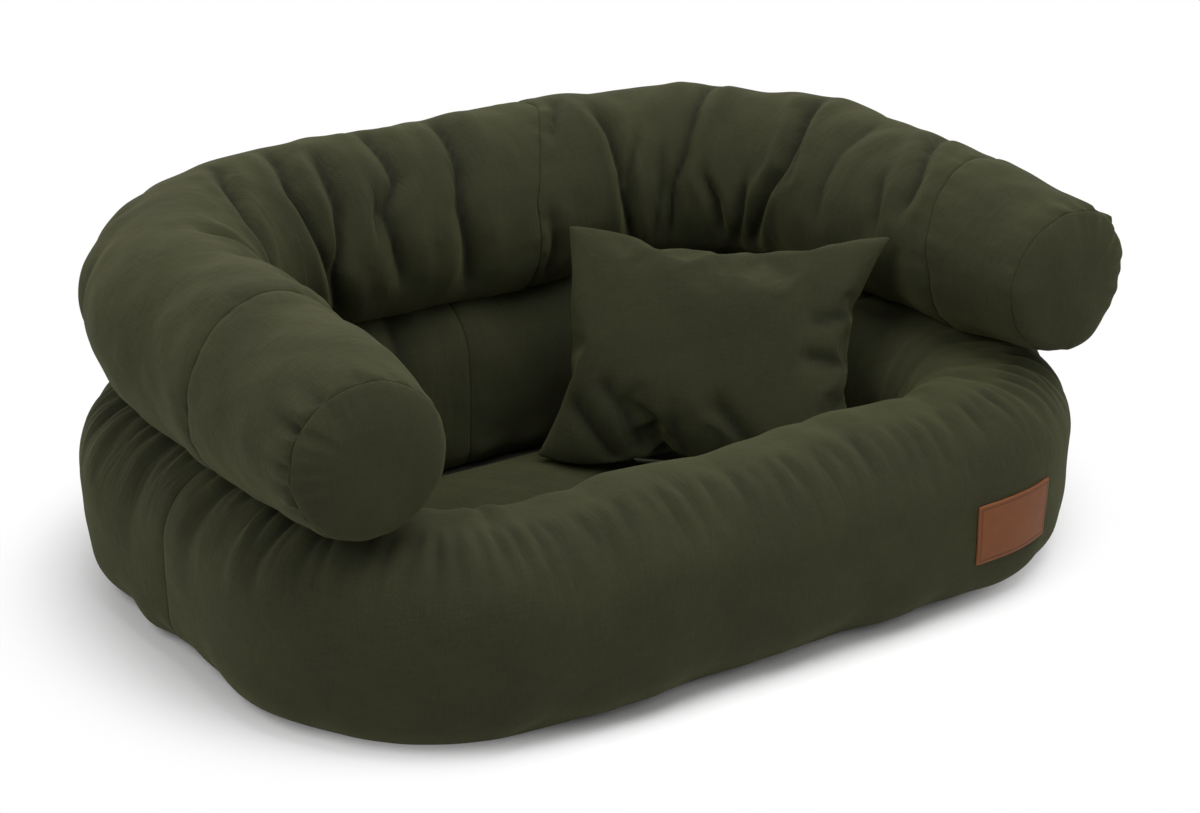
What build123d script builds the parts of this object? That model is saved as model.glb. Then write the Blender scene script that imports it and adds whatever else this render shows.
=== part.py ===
from build123d import *
from math import asin, atan2, cos, degrees, radians, sin, sqrt
import os

os.makedirs("parts", exist_ok=True)

# Armchair dog bed, in millimetres. The origin is on the floor, under the middle of the bed.
# The front looks along -Y, and +Z is up.

# Base wall: a stuffed wall all round, drawn as its outer outline and its upright section
base_width = 1000.0
base_depth = 809.0
front_corner_radius = 242.0
back_corner_radius = 317.0
front_wall_thickness = 168.0
side_wall_thickness = 190.0
back_wall_thickness = 212.0
front_wall_height = 212.0
seam_wall_height = 207.5
back_wall_height = 200.0
wall_outer_top_round = 76.0
wall_inner_top_round = 60.0
wall_outer_bottom_round = 48.0
wall_inner_bottom_round = 26.0
wall_side_bulge = 4.0
front_rim_crown = 3.0
side_seam_y = -35.0
wall_seam_draw = 4.0

# Roll: a stuffed roll in a U, which lies on the wall
roll_arm_x = 418.0
roll_back_y = 282.0
roll_cap_y = -311.0
roll_corner_radius = 248.0
arm_splay_angle = 1.87
cap_radius = 82.0
arm_roll_radius = 96.5
back_roll_radius = 109.0
cap_lift = 3.5
arm_lift = 0.5
back_sink = 17.5
roll_seat_gap = 0.9
least_flat_share = 0.985
first_swell_share = 0.62
back_corner_swell_share = 0.88
cap_dome_height = 11.0
roll_seam_draw = 5.0
roll_fold_draw = 6.0
right_arm_seam_distance = 160.0
left_arm_seam_distance = 190.0
back_seam_x = 118.0

# Cloth and stuffing
cloth_thickness = 1.4
stuffing_gap = 0.4
floor_panel_thickness = 2.0

# Leather label on the front wall
label_width = 112.0
label_height = 66.0
label_thickness = 1.4
label_gap = 0.3
label_centre_x = 289.0
label_centre_z = 90.0
label_corner_radius = 1.5

# Seat cushion
seat_width = 604.0
seat_front_y = -230.0
seat_back_y = 156.0
seat_height = 38.0
seat_front_corner_radius = 70.0
seat_back_corner_radius = 118.0
seat_edge_round = 9.0
seat_crown_inset = 46.0
seat_seam_height = 19.0
seat_crown_rise = 7.0
seat_edge_shares = ((0.5, 0.08), (0.82, 0.4))

# Throw pillow, which leans across the right back corner
pillow_width = 376.0
pillow_height = 266.0
pillow_fullness = 92.0
pillow_edge_sag = 9.0
pillow_seam_width = 5.0
pillow_rim_thickness = 5.0
pillow_centre_x = 168.0
pillow_centre_y = -31.0
pillow_centre_z = 187.0
pillow_turn_angle = -62.2
pillow_lean_angle = 26.0
pillow_tilt_angle = 6.5

# Zips of the seat cushion and the throw pillow
seat_zip_length = 360.0
pillow_zip_length = 150.0
zip_chain_width = 5.0
zip_chain_height = 2.4
zip_tape_thickness = 0.8
zip_tape_height = 2.2
zip_tape_gap = 0.3
zip_stop_length = 3.0
zip_stop_margin = 0.8
slider_length = 11.0
slider_wall = 1.2
slider_clearance = 0.3
bridge_length = 6.0
bridge_width = 2.2
bridge_height = 3.8
bridge_hole_radius = 1.1
pull_length = 24.0
pull_width = 7.0
pull_thickness = 1.4
pull_pin_radius = 0.8
pull_window_length = 5.4
pull_window_width = 3.0
pull_corner_radius = 2.0
slider_park_inset = 9.0

# Worked out from the sizes above
half_width = base_width / 2
half_depth = base_depth / 2
wall_bottom = floor_panel_thickness
front_y = -half_depth
back_y = half_depth
side_x = half_width
front_straight_x = half_width - front_corner_radius
front_straight_y = front_y + front_corner_radius
back_straight_x = half_width - back_corner_radius
back_straight_y = back_y - back_corner_radius
cap_top_height = front_wall_height + 2 * cap_radius + cap_lift
arm_top_height = seam_wall_height + 2 * arm_roll_radius + arm_lift
back_top_height = back_wall_height + 2 * back_roll_radius - back_sink
quarter_turn = radians(90)


def blend(low, high, share):
    return low + (high - low) * share


def wall_height_at(y):
    """Height of the wall's top where the roll lies on it, for a place along the depth"""
    if y <= front_straight_y:
        return front_wall_height
    if y <= side_seam_y:
        share = (y - front_straight_y) / (side_seam_y - front_straight_y)
        return blend(front_wall_height, seam_wall_height, share)
    share = (y - side_seam_y) / (roll_back_y - side_seam_y)
    return blend(seam_wall_height, back_wall_height, min(share, 1))


def inward_plane(path, distance):
    """Upright plane across a path: its X points into the bed and its Y points up"""
    place = path.position_at(distance, position_mode=PositionMode.LENGTH)
    heading = path.tangent_at(distance, position_mode=PositionMode.LENGTH)
    return Plane(origin=place, x_dir=Vector(0, 0, 1).cross(heading), z_dir=heading)


def wall_outline(thickness, top, crown, draw, inset):
    """Outline of the wall's section, inset from the cloth's outer face"""
    near = inset + draw + wall_side_bulge
    far = thickness - near
    low = wall_bottom + inset
    high = top - inset - draw
    outer_top = wall_outer_top_round - inset
    inner_top = wall_inner_top_round - inset
    outer_low = wall_outer_bottom_round - inset
    inner_low = wall_inner_bottom_round - inset
    slant = 1 - sqrt(1 / 2)
    middle = (low + high) / 2
    with BuildLine() as outline:
        Line((far - inner_low, low), (near + outer_low, low))
        ThreePointArc(
            (near + outer_low, low),
            (near + outer_low * slant, low + outer_low * slant),
            (near, low + outer_low),
        )
        ThreePointArc((near, low + outer_low), (near - wall_side_bulge, middle), (near, high - outer_top))
        ThreePointArc(
            (near, high - outer_top),
            (near + outer_top * slant, high - outer_top * slant),
            (near + outer_top, high),
        )
        if crown > 0:
            ThreePointArc(
                (near + outer_top, high),
                ((near + outer_top + far - inner_top) / 2, high + crown),
                (far - inner_top, high),
            )
        else:
            Line((near + outer_top, high), (far - inner_top, high))
        ThreePointArc(
            (far - inner_top, high),
            (far - inner_top * slant, high - inner_top * slant),
            (far, high - inner_top),
        )
        ThreePointArc((far, high - inner_top), (far + wall_side_bulge, middle), (far, low + inner_low))
        ThreePointArc(
            (far, low + inner_low),
            (far - inner_low * slant, low + inner_low * slant),
            (far - inner_low, low),
        )
    return outline.edges()


def wall_sections(path, stations, inset):
    """Upright sections along a stretch of wall, inset from the cloth's outer face"""
    sections = []
    for distance, thickness, crown, draw in stations:
        plane = inward_plane(path, distance)
        centre = plane.from_local_coords(Vector(thickness / 2, 0, 0))
        top = wall_height_at(centre.Y)
        with BuildSketch(plane) as section:
            make_face(wall_outline(thickness, top, crown, draw, inset))
        sections.append(section.sketch)
    return sections


# Paths of the wall's outer face, counter-clockwise seen from above
with BuildLine() as front_wall_path:
    Line((-side_x, side_seam_y), (-side_x, front_straight_y))
    CenterArc((-front_straight_x, front_straight_y), front_corner_radius, 180, 90)
    Line((-front_straight_x, front_y), (front_straight_x, front_y))
    CenterArc((front_straight_x, front_straight_y), front_corner_radius, 270, 90)
    Line((side_x, front_straight_y), (side_x, side_seam_y))

with BuildLine() as right_wall_path:
    Line((side_x, side_seam_y), (side_x, back_straight_y))
    CenterArc((back_straight_x, back_straight_y), back_corner_radius, 0, 90)
    Line((back_straight_x, back_y), (0, back_y))

with BuildLine() as left_wall_path:
    Line((0, back_y), (-back_straight_x, back_y))
    CenterArc((-back_straight_x, back_straight_y), back_corner_radius, 90, 90)
    Line((-side_x, back_straight_y), (-side_x, side_seam_y))

front_side_run = side_seam_y - front_straight_y
front_turn_run = front_corner_radius * quarter_turn
front_run = 2 * front_straight_x
back_side_run = back_straight_y - side_seam_y
back_turn_run = back_corner_radius * quarter_turn
back_run = back_straight_x

# Stations along the front wall: distance, thickness, crown of the rim, draw at the seam
turn_shares = [0, 1 / 6, 1 / 3, 0.5, 2 / 3, 5 / 6, 1]
front_middle_shares = [0.25, 0.5, 0.75]
first_turn = front_side_run
second_turn = front_side_run + front_turn_run + front_run
front_wall_stations = [(0, side_wall_thickness, 0, wall_seam_draw)]
front_wall_stations += [(front_side_run / 2, side_wall_thickness, 0, 0)]
for share in turn_shares:
    thickness = blend(side_wall_thickness, front_wall_thickness, share)
    front_wall_stations += [(first_turn + front_turn_run * share, thickness, front_rim_crown * share, 0)]
for share in front_middle_shares:
    distance = first_turn + front_turn_run + front_run * share
    front_wall_stations += [(distance, front_wall_thickness, front_rim_crown, 0)]
for share in turn_shares:
    thickness = blend(front_wall_thickness, side_wall_thickness, share)
    crown = front_rim_crown * (1 - share)
    front_wall_stations += [(second_turn + front_turn_run * share, thickness, crown, 0)]
front_wall_length = second_turn + front_turn_run + front_side_run
front_wall_stations += [(front_wall_length - front_side_run / 2, side_wall_thickness, 0, 0)]
front_wall_stations += [(front_wall_length, side_wall_thickness, 0, wall_seam_draw)]

# Stations along the right wall, from the side seam to the back seam; the left wall mirrors them
right_wall_stations = [(0, side_wall_thickness, 0, wall_seam_draw)]
right_wall_stations += [(back_side_run / 2, side_wall_thickness, 0, 0)]
for share in turn_shares:
    thickness = blend(side_wall_thickness, back_wall_thickness, share)
    right_wall_stations += [(back_side_run + back_turn_run * share, thickness, 0, 0)]
right_wall_stations += [(back_side_run + back_turn_run + back_run / 2, back_wall_thickness, 0, 0)]
right_wall_length = back_side_run + back_turn_run + back_run
right_wall_stations += [(right_wall_length, back_wall_thickness, 0, wall_seam_draw)]
left_wall_stations = [(right_wall_length - run, thick, crown, draw)
                      for run, thick, crown, draw in reversed(right_wall_stations)]

walls = [
    ("front", front_wall_path.wire(), front_wall_stations),
    ("right", right_wall_path.wire(), right_wall_stations),
    ("left", left_wall_path.wire(), left_wall_stations),
]
filling_inset = cloth_thickness + stuffing_gap

for name, path, stations in walls:
    with BuildPart() as wall_cover:
        loft(wall_sections(path, stations, 0), ruled=True)
        loft(wall_sections(path, stations, cloth_thickness), ruled=True, mode=Mode.SUBTRACT)
    wall_cover.part.label = f"{name}_wall_cover"
    export_step(wall_cover.part, f"parts/{name}_wall_cover.step")
    with BuildPart() as wall_stuffing:
        loft(wall_sections(path, stations, filling_inset), ruled=True)
    wall_stuffing.part.label = f"{name}_wall_stuffing"
    export_step(wall_stuffing.part, f"parts/{name}_wall_stuffing.step")

# Floor panel: one sheet that closes the base, as far out as the wall stands on it
panel_inset = wall_side_bulge + wall_outer_bottom_round
panel_x = half_width - panel_inset
panel_y = half_depth - panel_inset
panel_front_radius = front_corner_radius - panel_inset
panel_back_radius = back_corner_radius - panel_inset
with BuildPart() as floor_panel:
    with BuildSketch(Plane.XY):
        Rectangle(2 * panel_x, 2 * panel_y)
    extrude(amount=floor_panel_thickness)
    fillet(floor_panel.edges().filter_by(Axis.Z).group_by(Axis.Y)[0], panel_front_radius)
    fillet(floor_panel.edges().filter_by(Axis.Z).group_by(Axis.Y)[-1], panel_back_radius)
floor_panel.part.label = "floor_panel"
export_step(floor_panel.part, "parts/floor_panel.step")

# Path of the roll's centre line, from the right arm's cap round the back to the left arm's cap
roll_straight_x = roll_arm_x - roll_corner_radius
roll_straight_y = roll_back_y - roll_corner_radius
arm_run = roll_straight_y - roll_cap_y
arm_spread = arm_run * sin(radians(arm_splay_angle)) / cos(radians(arm_splay_angle))
with BuildLine() as roll_path:
    Line((roll_arm_x + arm_spread, roll_cap_y), (roll_arm_x, roll_straight_y))
    CenterArc((roll_straight_x, roll_straight_y), roll_corner_radius, 0, 90)
    Line((roll_straight_x, roll_back_y), (-roll_straight_x, roll_back_y))
    CenterArc((-roll_straight_x, roll_straight_y), roll_corner_radius, 90, 90)
    Line((-roll_arm_x, roll_straight_y), (-roll_arm_x - arm_spread, roll_cap_y))
roll_line = roll_path.wire()
roll_length = roll_line.length

# The roll swells from the caps to the middle of the back: shares of the whole length, then sizes
swell_shares = [0, 0.06, 0.12, 0.26, 0.38, 0.5]
swell_radii = [cap_radius, blend(cap_radius, arm_roll_radius, first_swell_share),
               arm_roll_radius, arm_roll_radius,
               blend(arm_roll_radius, back_roll_radius, back_corner_swell_share), back_roll_radius]
swell_tops = [cap_top_height, blend(cap_top_height, arm_top_height, first_swell_share), arm_top_height,
              (arm_top_height + back_top_height) / 2, back_top_height, back_top_height]


def swell_at(distance, values):
    """Value along the roll, between the two nearest shares, alike from both caps"""
    share = min(distance, roll_length - distance) / roll_length
    for index in range(len(swell_shares) - 1):
        if share <= swell_shares[index + 1]:
            step = (share - swell_shares[index]) / (swell_shares[index + 1] - swell_shares[index])
            return blend(values[index], values[index + 1], step)
    return values[-1]


def roll_outline(radius, centre, floor, inset):
    """Round outline that is flat where the roll lies on the wall"""
    size = radius - inset
    flat = floor + inset
    dip = asin((centre - flat) / size)
    side_angle = (quarter_turn - dip) / 2
    half_flat = size * cos(dip)
    with BuildLine() as outline:
        Line((-half_flat, flat), (half_flat, flat))
        ThreePointArc(
            (half_flat, flat),
            (size * cos(side_angle), centre + size * sin(side_angle)),
            (0, centre + size),
        )
        ThreePointArc(
            (0, centre + size),
            (-size * cos(side_angle), centre + size * sin(side_angle)),
            (-half_flat, flat),
        )
    return outline.edges()


def roll_sections(stations, inset):
    """Upright sections along a stretch of roll, inset from the cloth's outer face"""
    sections = []
    for distance, draw in stations:
        plane = inward_plane(roll_line, distance)
        radius = swell_at(distance, swell_radii) - draw
        centre = swell_at(distance, swell_tops) - draw - radius
        floor = max(wall_height_at(plane.origin.Y) + roll_seat_gap, centre - radius * least_flat_share)
        with BuildSketch(plane) as section:
            make_face(roll_outline(radius, centre, floor, inset))
        sections.append(section.sketch)
    return sections


# Stations along each roll panel: share of the panel's length, then how far a seam or fold draws it in
right_back_seam = roll_length / 2 - back_seam_x
left_arm_seam = roll_length - left_arm_seam_distance
roll_panels = [
    ("right_arm", 0, right_arm_seam_distance,
     [(0, 0), (0.3, 0), (0.7, 0), (0.9, 0), (1, roll_seam_draw)]),
    ("right_back", right_arm_seam_distance, right_back_seam,
     [(0, roll_seam_draw), (0.06, 0), (0.18, 0), (0.3, 0), (0.38, 0), (0.44, roll_fold_draw), (0.5, 0),
      (0.58, 0), (0.65, 0), (0.71, roll_fold_draw), (0.76, 0), (0.82, 0), (0.87, roll_fold_draw),
      (0.92, 0), (1, roll_seam_draw)]),
    ("left_back", right_back_seam, left_arm_seam,
     [(0, roll_seam_draw), (0.05, 0), (0.12, 0), (0.18, roll_fold_draw), (0.24, 0), (0.31, roll_fold_draw),
      (0.37, 0), (0.45, 0), (0.53, roll_fold_draw), (0.59, 0), (0.67, 0), (0.74, 0), (0.82, 0),
      (0.94, 0), (1, roll_seam_draw)]),
    ("left_arm", left_arm_seam, roll_length,
     [(0, roll_seam_draw), (0.1, 0), (0.3, 0), (0.7, 0), (1, 0)]),
]


def cap_plane(distance):
    """Plane of an arm's end, looking out of the roll"""
    plane = inward_plane(roll_line, distance)
    outward = -plane.z_dir if distance < roll_length / 2 else plane.z_dir
    centre = plane.origin + Vector(0, 0, cap_top_height - cap_radius)
    return Plane(origin=centre, x_dir=Vector(0, 0, 1), z_dir=outward)


def cap_dome(distance, radius, rise, mode=Mode.ADD):
    """Low dome on an arm's end, turned about the roll's line"""
    plane = cap_plane(distance)
    edge = Plane(origin=plane.origin, x_dir=plane.x_dir, z_dir=-plane.y_dir)
    ball_radius = (radius**2 + rise**2) / (2 * rise)
    start_angle = degrees(atan2(ball_radius - rise, radius))
    with BuildSketch(edge) as half_section:
        with BuildLine():
            curve = CenterArc((0, rise - ball_radius), ball_radius, start_angle, 90 - start_angle)
            Line(curve @ 1, (0, 0))
            Line((0, 0), curve @ 0)
        make_face()
    revolve(half_section.sketch, axis=Axis(plane.origin, plane.z_dir), mode=mode)


cap_ends = {"right_arm": 0, "left_arm": roll_length}
cap_edge_radius = cap_radius * least_flat_share
for name, start, end, shares in roll_panels:
    stations = [(blend(start, end, share), draw) for share, draw in shares]
    with BuildPart() as roll_cover:
        loft(roll_sections(stations, 0), ruled=True)
        loft(roll_sections(stations, cloth_thickness), ruled=True, mode=Mode.SUBTRACT)
    roll_cover.part.label = f"roll_cover_{name}"
    export_step(roll_cover.part, f"parts/roll_cover_{name}.step")
    with BuildPart() as roll_stuffing:
        loft(roll_sections(stations, filling_inset), ruled=True)
        if name in cap_ends:
            dome_radius = cap_edge_radius - filling_inset - stuffing_gap
            cap_dome(cap_ends[name], dome_radius, cap_dome_height - filling_inset)
    roll_stuffing.part.label = f"roll_stuffing_{name}"
    export_step(roll_stuffing.part, f"parts/roll_stuffing_{name}.step")

# End caps: a shallow dome of cloth sewn into the end of each arm
for name, distance in cap_ends.items():
    with BuildPart() as end_cap:
        cap_dome(distance, cap_edge_radius, cap_dome_height)
        inner_radius = cap_edge_radius - cloth_thickness
        cap_dome(distance, inner_radius, cap_dome_height - cloth_thickness, Mode.SUBTRACT)
    end_cap.part.label = f"{name}_end_cap"
    export_step(end_cap.part, f"parts/{name}_end_cap.step")

# Leather label: a thin patch that follows the wall round the right front corner
label_near = -(label_gap + label_thickness)
label_depth = front_wall_thickness
with BuildPart() as label_outer:
    loft(wall_sections(front_wall_path.wire(), front_wall_stations, label_near), ruled=True)
with BuildPart() as label_inner:
    loft(wall_sections(front_wall_path.wire(), front_wall_stations, -label_gap), ruled=True)
with BuildPart() as label_patch:
    with BuildSketch(Plane.XZ.offset(half_depth - label_depth / 2)):
        with Locations((label_centre_x, label_centre_z)):
            RectangleRounded(label_width, label_height, label_corner_radius)
    extrude(amount=label_depth)
    add(label_outer.part, mode=Mode.INTERSECT)
    add(label_inner.part, mode=Mode.SUBTRACT)
label_patch.part.label = "label_patch"
export_step(label_patch.part, "parts/label_patch.step")

# Seat cushion: outlines stacked from the floor panel up, drawn in at the edges and crowned on top
seat_middle_y = (seat_front_y + seat_back_y) / 2
seat_depth = seat_back_y - seat_front_y


def seat_outline(height, inset):
    """Outline of the seat cushion at a height"""
    half_x = seat_width / 2 - inset
    half_y = seat_depth / 2 - inset
    front_radius = seat_front_corner_radius - inset
    back_radius = seat_back_corner_radius - inset
    low = seat_middle_y - half_y
    high = seat_middle_y + half_y
    with BuildSketch(Plane.XY.offset(height)) as outline:
        with BuildLine():
            Line((-half_x + front_radius, low), (half_x - front_radius, low))
            CenterArc((half_x - front_radius, low + front_radius), front_radius, 270, 90)
            Line((half_x, low + front_radius), (half_x, high - back_radius))
            CenterArc((half_x - back_radius, high - back_radius), back_radius, 0, 90)
            Line((half_x - back_radius, high), (-half_x + back_radius, high))
            CenterArc((-half_x + back_radius, high - back_radius), back_radius, 90, 90)
            Line((-half_x, high - back_radius), (-half_x, low + front_radius))
            CenterArc((-half_x + front_radius, low + front_radius), front_radius, 180, 90)
        make_face()
    return outline.sketch


seat_bottom = floor_panel_thickness + stuffing_gap
seat_top = floor_panel_thickness + seat_height
seat_seam = floor_panel_thickness + seat_seam_height


def seat_top_loft(inset):
    shoulder = seat_top - seat_crown_rise
    sections = [seat_outline(seat_seam, inset)]
    for rise_share, round_share in seat_edge_shares:
        height = blend(seat_seam, shoulder, rise_share) - inset * rise_share
        sections.append(seat_outline(height, inset + seat_edge_round * round_share))
    sections.append(seat_outline(shoulder - inset, inset + seat_edge_round))
    sections.append(seat_outline(seat_top - inset, inset + seat_crown_inset))
    loft(sections, ruled=True)


def seat_bottom_loft(inset):
    sections = [seat_outline(seat_bottom + inset, inset + seat_edge_round)]
    for high_share, round_share in reversed(seat_edge_shares):
        rise_share = 1 - high_share
        height = blend(seat_bottom, seat_seam, rise_share) + inset * high_share
        sections.append(seat_outline(height, inset + seat_edge_round * round_share))
    sections.append(seat_outline(seat_seam, inset))
    loft(sections, ruled=True)


with BuildPart() as seat_top_inside:
    seat_top_loft(cloth_thickness)
with BuildPart() as seat_top_cover:
    seat_top_loft(0)
    add(seat_top_inside.part, mode=Mode.SUBTRACT)
seat_top_cover.part.label = "seat_cushion_top_cover"
export_step(seat_top_cover.part, "parts/seat_cushion_top_cover.step")

with BuildPart() as seat_bottom_inside:
    seat_bottom_loft(cloth_thickness)
with BuildPart() as seat_bottom_cover:
    seat_bottom_loft(0)
    add(seat_bottom_inside.part, mode=Mode.SUBTRACT)
seat_bottom_cover.part.label = "seat_cushion_bottom_cover"
export_step(seat_bottom_cover.part, "parts/seat_cushion_bottom_cover.step")

with BuildPart() as seat_stuffing:
    seat_top_loft(filling_inset)
    seat_bottom_loft(filling_inset)
seat_stuffing.part.label = "seat_cushion_stuffing"
export_step(seat_stuffing.part, "parts/seat_cushion_stuffing.step")

# Throw pillow: across it the section is a lens, fullest in the middle and pointed at the corners
pillow_place = (
    Location((pillow_centre_x, pillow_centre_y, pillow_centre_z))
    * Rotation(0, 0, pillow_turn_angle)
    * Rotation(90 - pillow_lean_angle, 0, 0)
    * Rotation(0, 0, pillow_tilt_angle)
)
pillow_plane = Plane(pillow_place)
# Along the width: share of the half width, share of the edge's sag, share of the fullness
pillow_width_shares = [
    (-1, 0, 0), (-0.96, 0.35, 0.22), (-0.86, 0.8, 0.54), (-0.68, 1, 0.83), (-0.38, 1, 0.97),
    (0.38, 1, 0.97), (0.68, 1, 0.83), (0.86, 0.8, 0.54), (0.96, 0.35, 0.22), (1, 0, 0),
]


def pillow_loft(side, inset):
    """One half of the throw pillow, from its seam plane to its crown"""
    half_x = pillow_width / 2 - inset * pillow_seam_width / cloth_thickness
    sections = []
    for width_share, sag_share, full_share in pillow_width_shares:
        half_y = pillow_height / 2 - pillow_edge_sag * sag_share
        half_y -= inset * pillow_seam_width / cloth_thickness
        rise = blend(pillow_rim_thickness / 2, pillow_fullness / 2, full_share) - inset
        origin = pillow_plane.from_local_coords(Vector(half_x * width_share, 0, 0))
        section = Plane(origin=origin, x_dir=pillow_plane.y_dir, z_dir=pillow_plane.x_dir)
        with BuildSketch(section) as lens:
            with BuildLine():
                ThreePointArc((-half_y, 0), (0, side * rise), (half_y, 0))
                Line((half_y, 0), (-half_y, 0))
            make_face()
        sections.append(lens.sketch)
    loft(sections, ruled=True)


for name, side in (("front", 1), ("back", -1)):
    with BuildPart() as pillow_inside:
        pillow_loft(side, cloth_thickness)
    with BuildPart() as pillow_panel:
        pillow_loft(side, 0)
        add(pillow_inside.part, mode=Mode.SUBTRACT)
    pillow_panel.part.label = f"throw_pillow_{name}_panel"
    export_step(pillow_panel.part, f"parts/throw_pillow_{name}_panel.step")

with BuildPart() as pillow_stuffing:
    pillow_loft(1, filling_inset)
    pillow_loft(-1, filling_inset)
pillow_stuffing.part.label = "throw_pillow_stuffing"
export_step(pillow_stuffing.part, "parts/throw_pillow_stuffing.step")

# Zips: a chain on a tape that stands out of a seam, a slider round the chain and a pull on the slider.
# In a zip's own plane X runs along the chain, Y across it and Z out of the seam.
chain_low = zip_tape_gap + zip_tape_height
channel_width = zip_chain_width + 2 * slider_clearance
channel_height = zip_chain_height + 2 * slider_clearance
channel_low = chain_low - slider_clearance
slider_low = channel_low - slider_wall
slider_high = channel_low + channel_height + slider_wall
slider_width = channel_width + 2 * slider_wall
pin_height = slider_high + bridge_height - bridge_hole_radius - slider_wall


def zip_chain(plane, length):
    with BuildSketch(plane.offset(zip_tape_gap)) as tape:
        Rectangle(length, zip_tape_thickness)
    extrude(tape.sketch, amount=zip_tape_height)
    with BuildSketch(plane.offset(chain_low)) as coil:
        Rectangle(length, zip_chain_width)
    extrude(coil.sketch, amount=zip_chain_height)
    with BuildSketch(plane.offset(chain_low - zip_stop_margin)) as stops:
        with GridLocations(length - zip_stop_length, 0, 2, 1):
            Rectangle(zip_stop_length, zip_chain_width + 2 * zip_stop_margin)
    extrude(stops.sketch, amount=zip_chain_height + 2 * zip_stop_margin)


def zip_slider(plane, along):
    place = Plane(origin=plane.from_local_coords(Vector(along, 0, 0)), x_dir=plane.x_dir, z_dir=plane.z_dir)
    with BuildSketch(place.offset(slider_low)) as body:
        RectangleRounded(slider_length, slider_width, slider_wall)
    extrude(body.sketch, amount=slider_high - slider_low)
    with BuildSketch(place.offset(channel_low)) as channel:
        Rectangle(2 * slider_length, channel_width)
    extrude(channel.sketch, amount=channel_height, mode=Mode.SUBTRACT)
    with BuildSketch(place.offset(0)) as slot:
        Rectangle(2 * slider_length, zip_tape_thickness + 2 * slider_clearance)
    extrude(slot.sketch, amount=chain_low, mode=Mode.SUBTRACT)
    with BuildSketch(place.offset(slider_high)) as bridge:
        Rectangle(bridge_length, bridge_width)
    extrude(bridge.sketch, amount=bridge_height)
    pin = place.from_local_coords(Vector(0, 0, pin_height))
    across = Plane(origin=pin, x_dir=place.x_dir, z_dir=place.y_dir)
    with BuildSketch(across.offset(-bridge_width)) as eye:
        Circle(bridge_hole_radius)
    extrude(eye.sketch, amount=2 * bridge_width, mode=Mode.SUBTRACT)


def zip_pull(plane, along, swing):
    """Pull on the slider's bridge; at a swing of zero it stands straight out of the seam"""
    pin = plane.from_local_coords(Vector(along, 0, pin_height))
    flat = Plane(Plane(origin=pin, x_dir=plane.x_dir, z_dir=plane.z_dir).location * Rotation(0, swing, 0))
    face = Plane(origin=flat.origin, x_dir=flat.z_dir, z_dir=flat.x_dir)
    bar_start = -pull_pin_radius
    with BuildSketch(face.offset(-pull_thickness / 2)) as tab:
        with Locations((bar_start + pull_length / 2, 0)):
            RectangleRounded(pull_length, pull_width, pull_corner_radius)
        with Locations((pull_pin_radius + bar_start + pull_window_length / 2, 0)):
            Rectangle(pull_window_length, pull_window_width, mode=Mode.SUBTRACT)
    extrude(tab.sketch, amount=pull_thickness)
    across = Plane(origin=flat.origin, x_dir=flat.x_dir, z_dir=flat.y_dir)
    with BuildSketch(across.offset(-pull_window_width)) as pin_end:
        Circle(pull_pin_radius)
    extrude(pin_end.sketch, amount=2 * pull_window_width)


seat_zip_plane = Plane(origin=(0, seat_back_y, seat_seam), x_dir=(1, 0, 0), z_dir=(0, 1, 0))
pillow_edge = pillow_plane.from_local_coords(Vector(0, -(pillow_height / 2 - pillow_edge_sag), 0))
pillow_zip_plane = Plane(origin=pillow_edge, x_dir=pillow_plane.x_dir, z_dir=-pillow_plane.y_dir)
zips = [
    ("seat_cushion", seat_zip_plane, seat_zip_length, 90),
    ("throw_pillow", pillow_zip_plane, pillow_zip_length, 0),
]
for name, plane, length, swing in zips:
    park = length / 2 - zip_stop_length - slider_park_inset
    with BuildPart() as chain:
        zip_chain(plane, length)
    chain.part.label = f"{name}_zip_chain"
    export_step(chain.part, f"parts/{name}_zip_chain.step")
    with BuildPart() as slider:
        zip_slider(plane, park)
    slider.part.label = f"{name}_zip_slider"
    export_step(slider.part, f"parts/{name}_zip_slider.step")
    with BuildPart() as pull:
        zip_pull(plane, park, swing)
    pull.part.label = f"{name}_zip_pull"
    export_step(pull.part, f"parts/{name}_zip_pull.step")
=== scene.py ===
import math

import bmesh
import bpy
import numpy as np
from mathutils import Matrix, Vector
from mathutils.bvhtree import BVHTree


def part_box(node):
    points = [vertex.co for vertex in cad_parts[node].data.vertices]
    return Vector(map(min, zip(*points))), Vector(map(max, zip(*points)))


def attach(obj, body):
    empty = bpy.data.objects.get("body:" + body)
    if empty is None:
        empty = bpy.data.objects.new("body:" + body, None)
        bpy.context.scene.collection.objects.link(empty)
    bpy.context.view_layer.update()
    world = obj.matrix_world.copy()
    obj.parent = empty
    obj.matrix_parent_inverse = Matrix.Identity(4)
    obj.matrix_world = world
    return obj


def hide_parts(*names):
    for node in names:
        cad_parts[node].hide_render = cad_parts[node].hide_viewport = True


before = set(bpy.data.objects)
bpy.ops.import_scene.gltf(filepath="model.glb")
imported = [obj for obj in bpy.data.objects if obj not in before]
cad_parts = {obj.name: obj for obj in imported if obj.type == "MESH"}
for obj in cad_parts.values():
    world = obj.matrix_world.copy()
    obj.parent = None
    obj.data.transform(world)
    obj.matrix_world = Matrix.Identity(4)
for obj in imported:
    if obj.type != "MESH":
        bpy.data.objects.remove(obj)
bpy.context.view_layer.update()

bl_info = {
    "name": "Armchair dog bed",
    "version": (1, 0, 0),
    "blender": (4, 5, 0),
    "location": "3D View > Sidebar > Dog bed",
    "description": "Dresses the stuffed canvas dog bed: walls, roll, cushions, label and zips",
    "category": "Object",
}

millimetre = 0.001
quarter_turn = math.pi / 2


def length(name, description, default):
    """A size that the user can change, in metres"""
    return bpy.props.FloatProperty(
        name=name, description=description, default=default, unit="LENGTH", precision=4
    )


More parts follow.
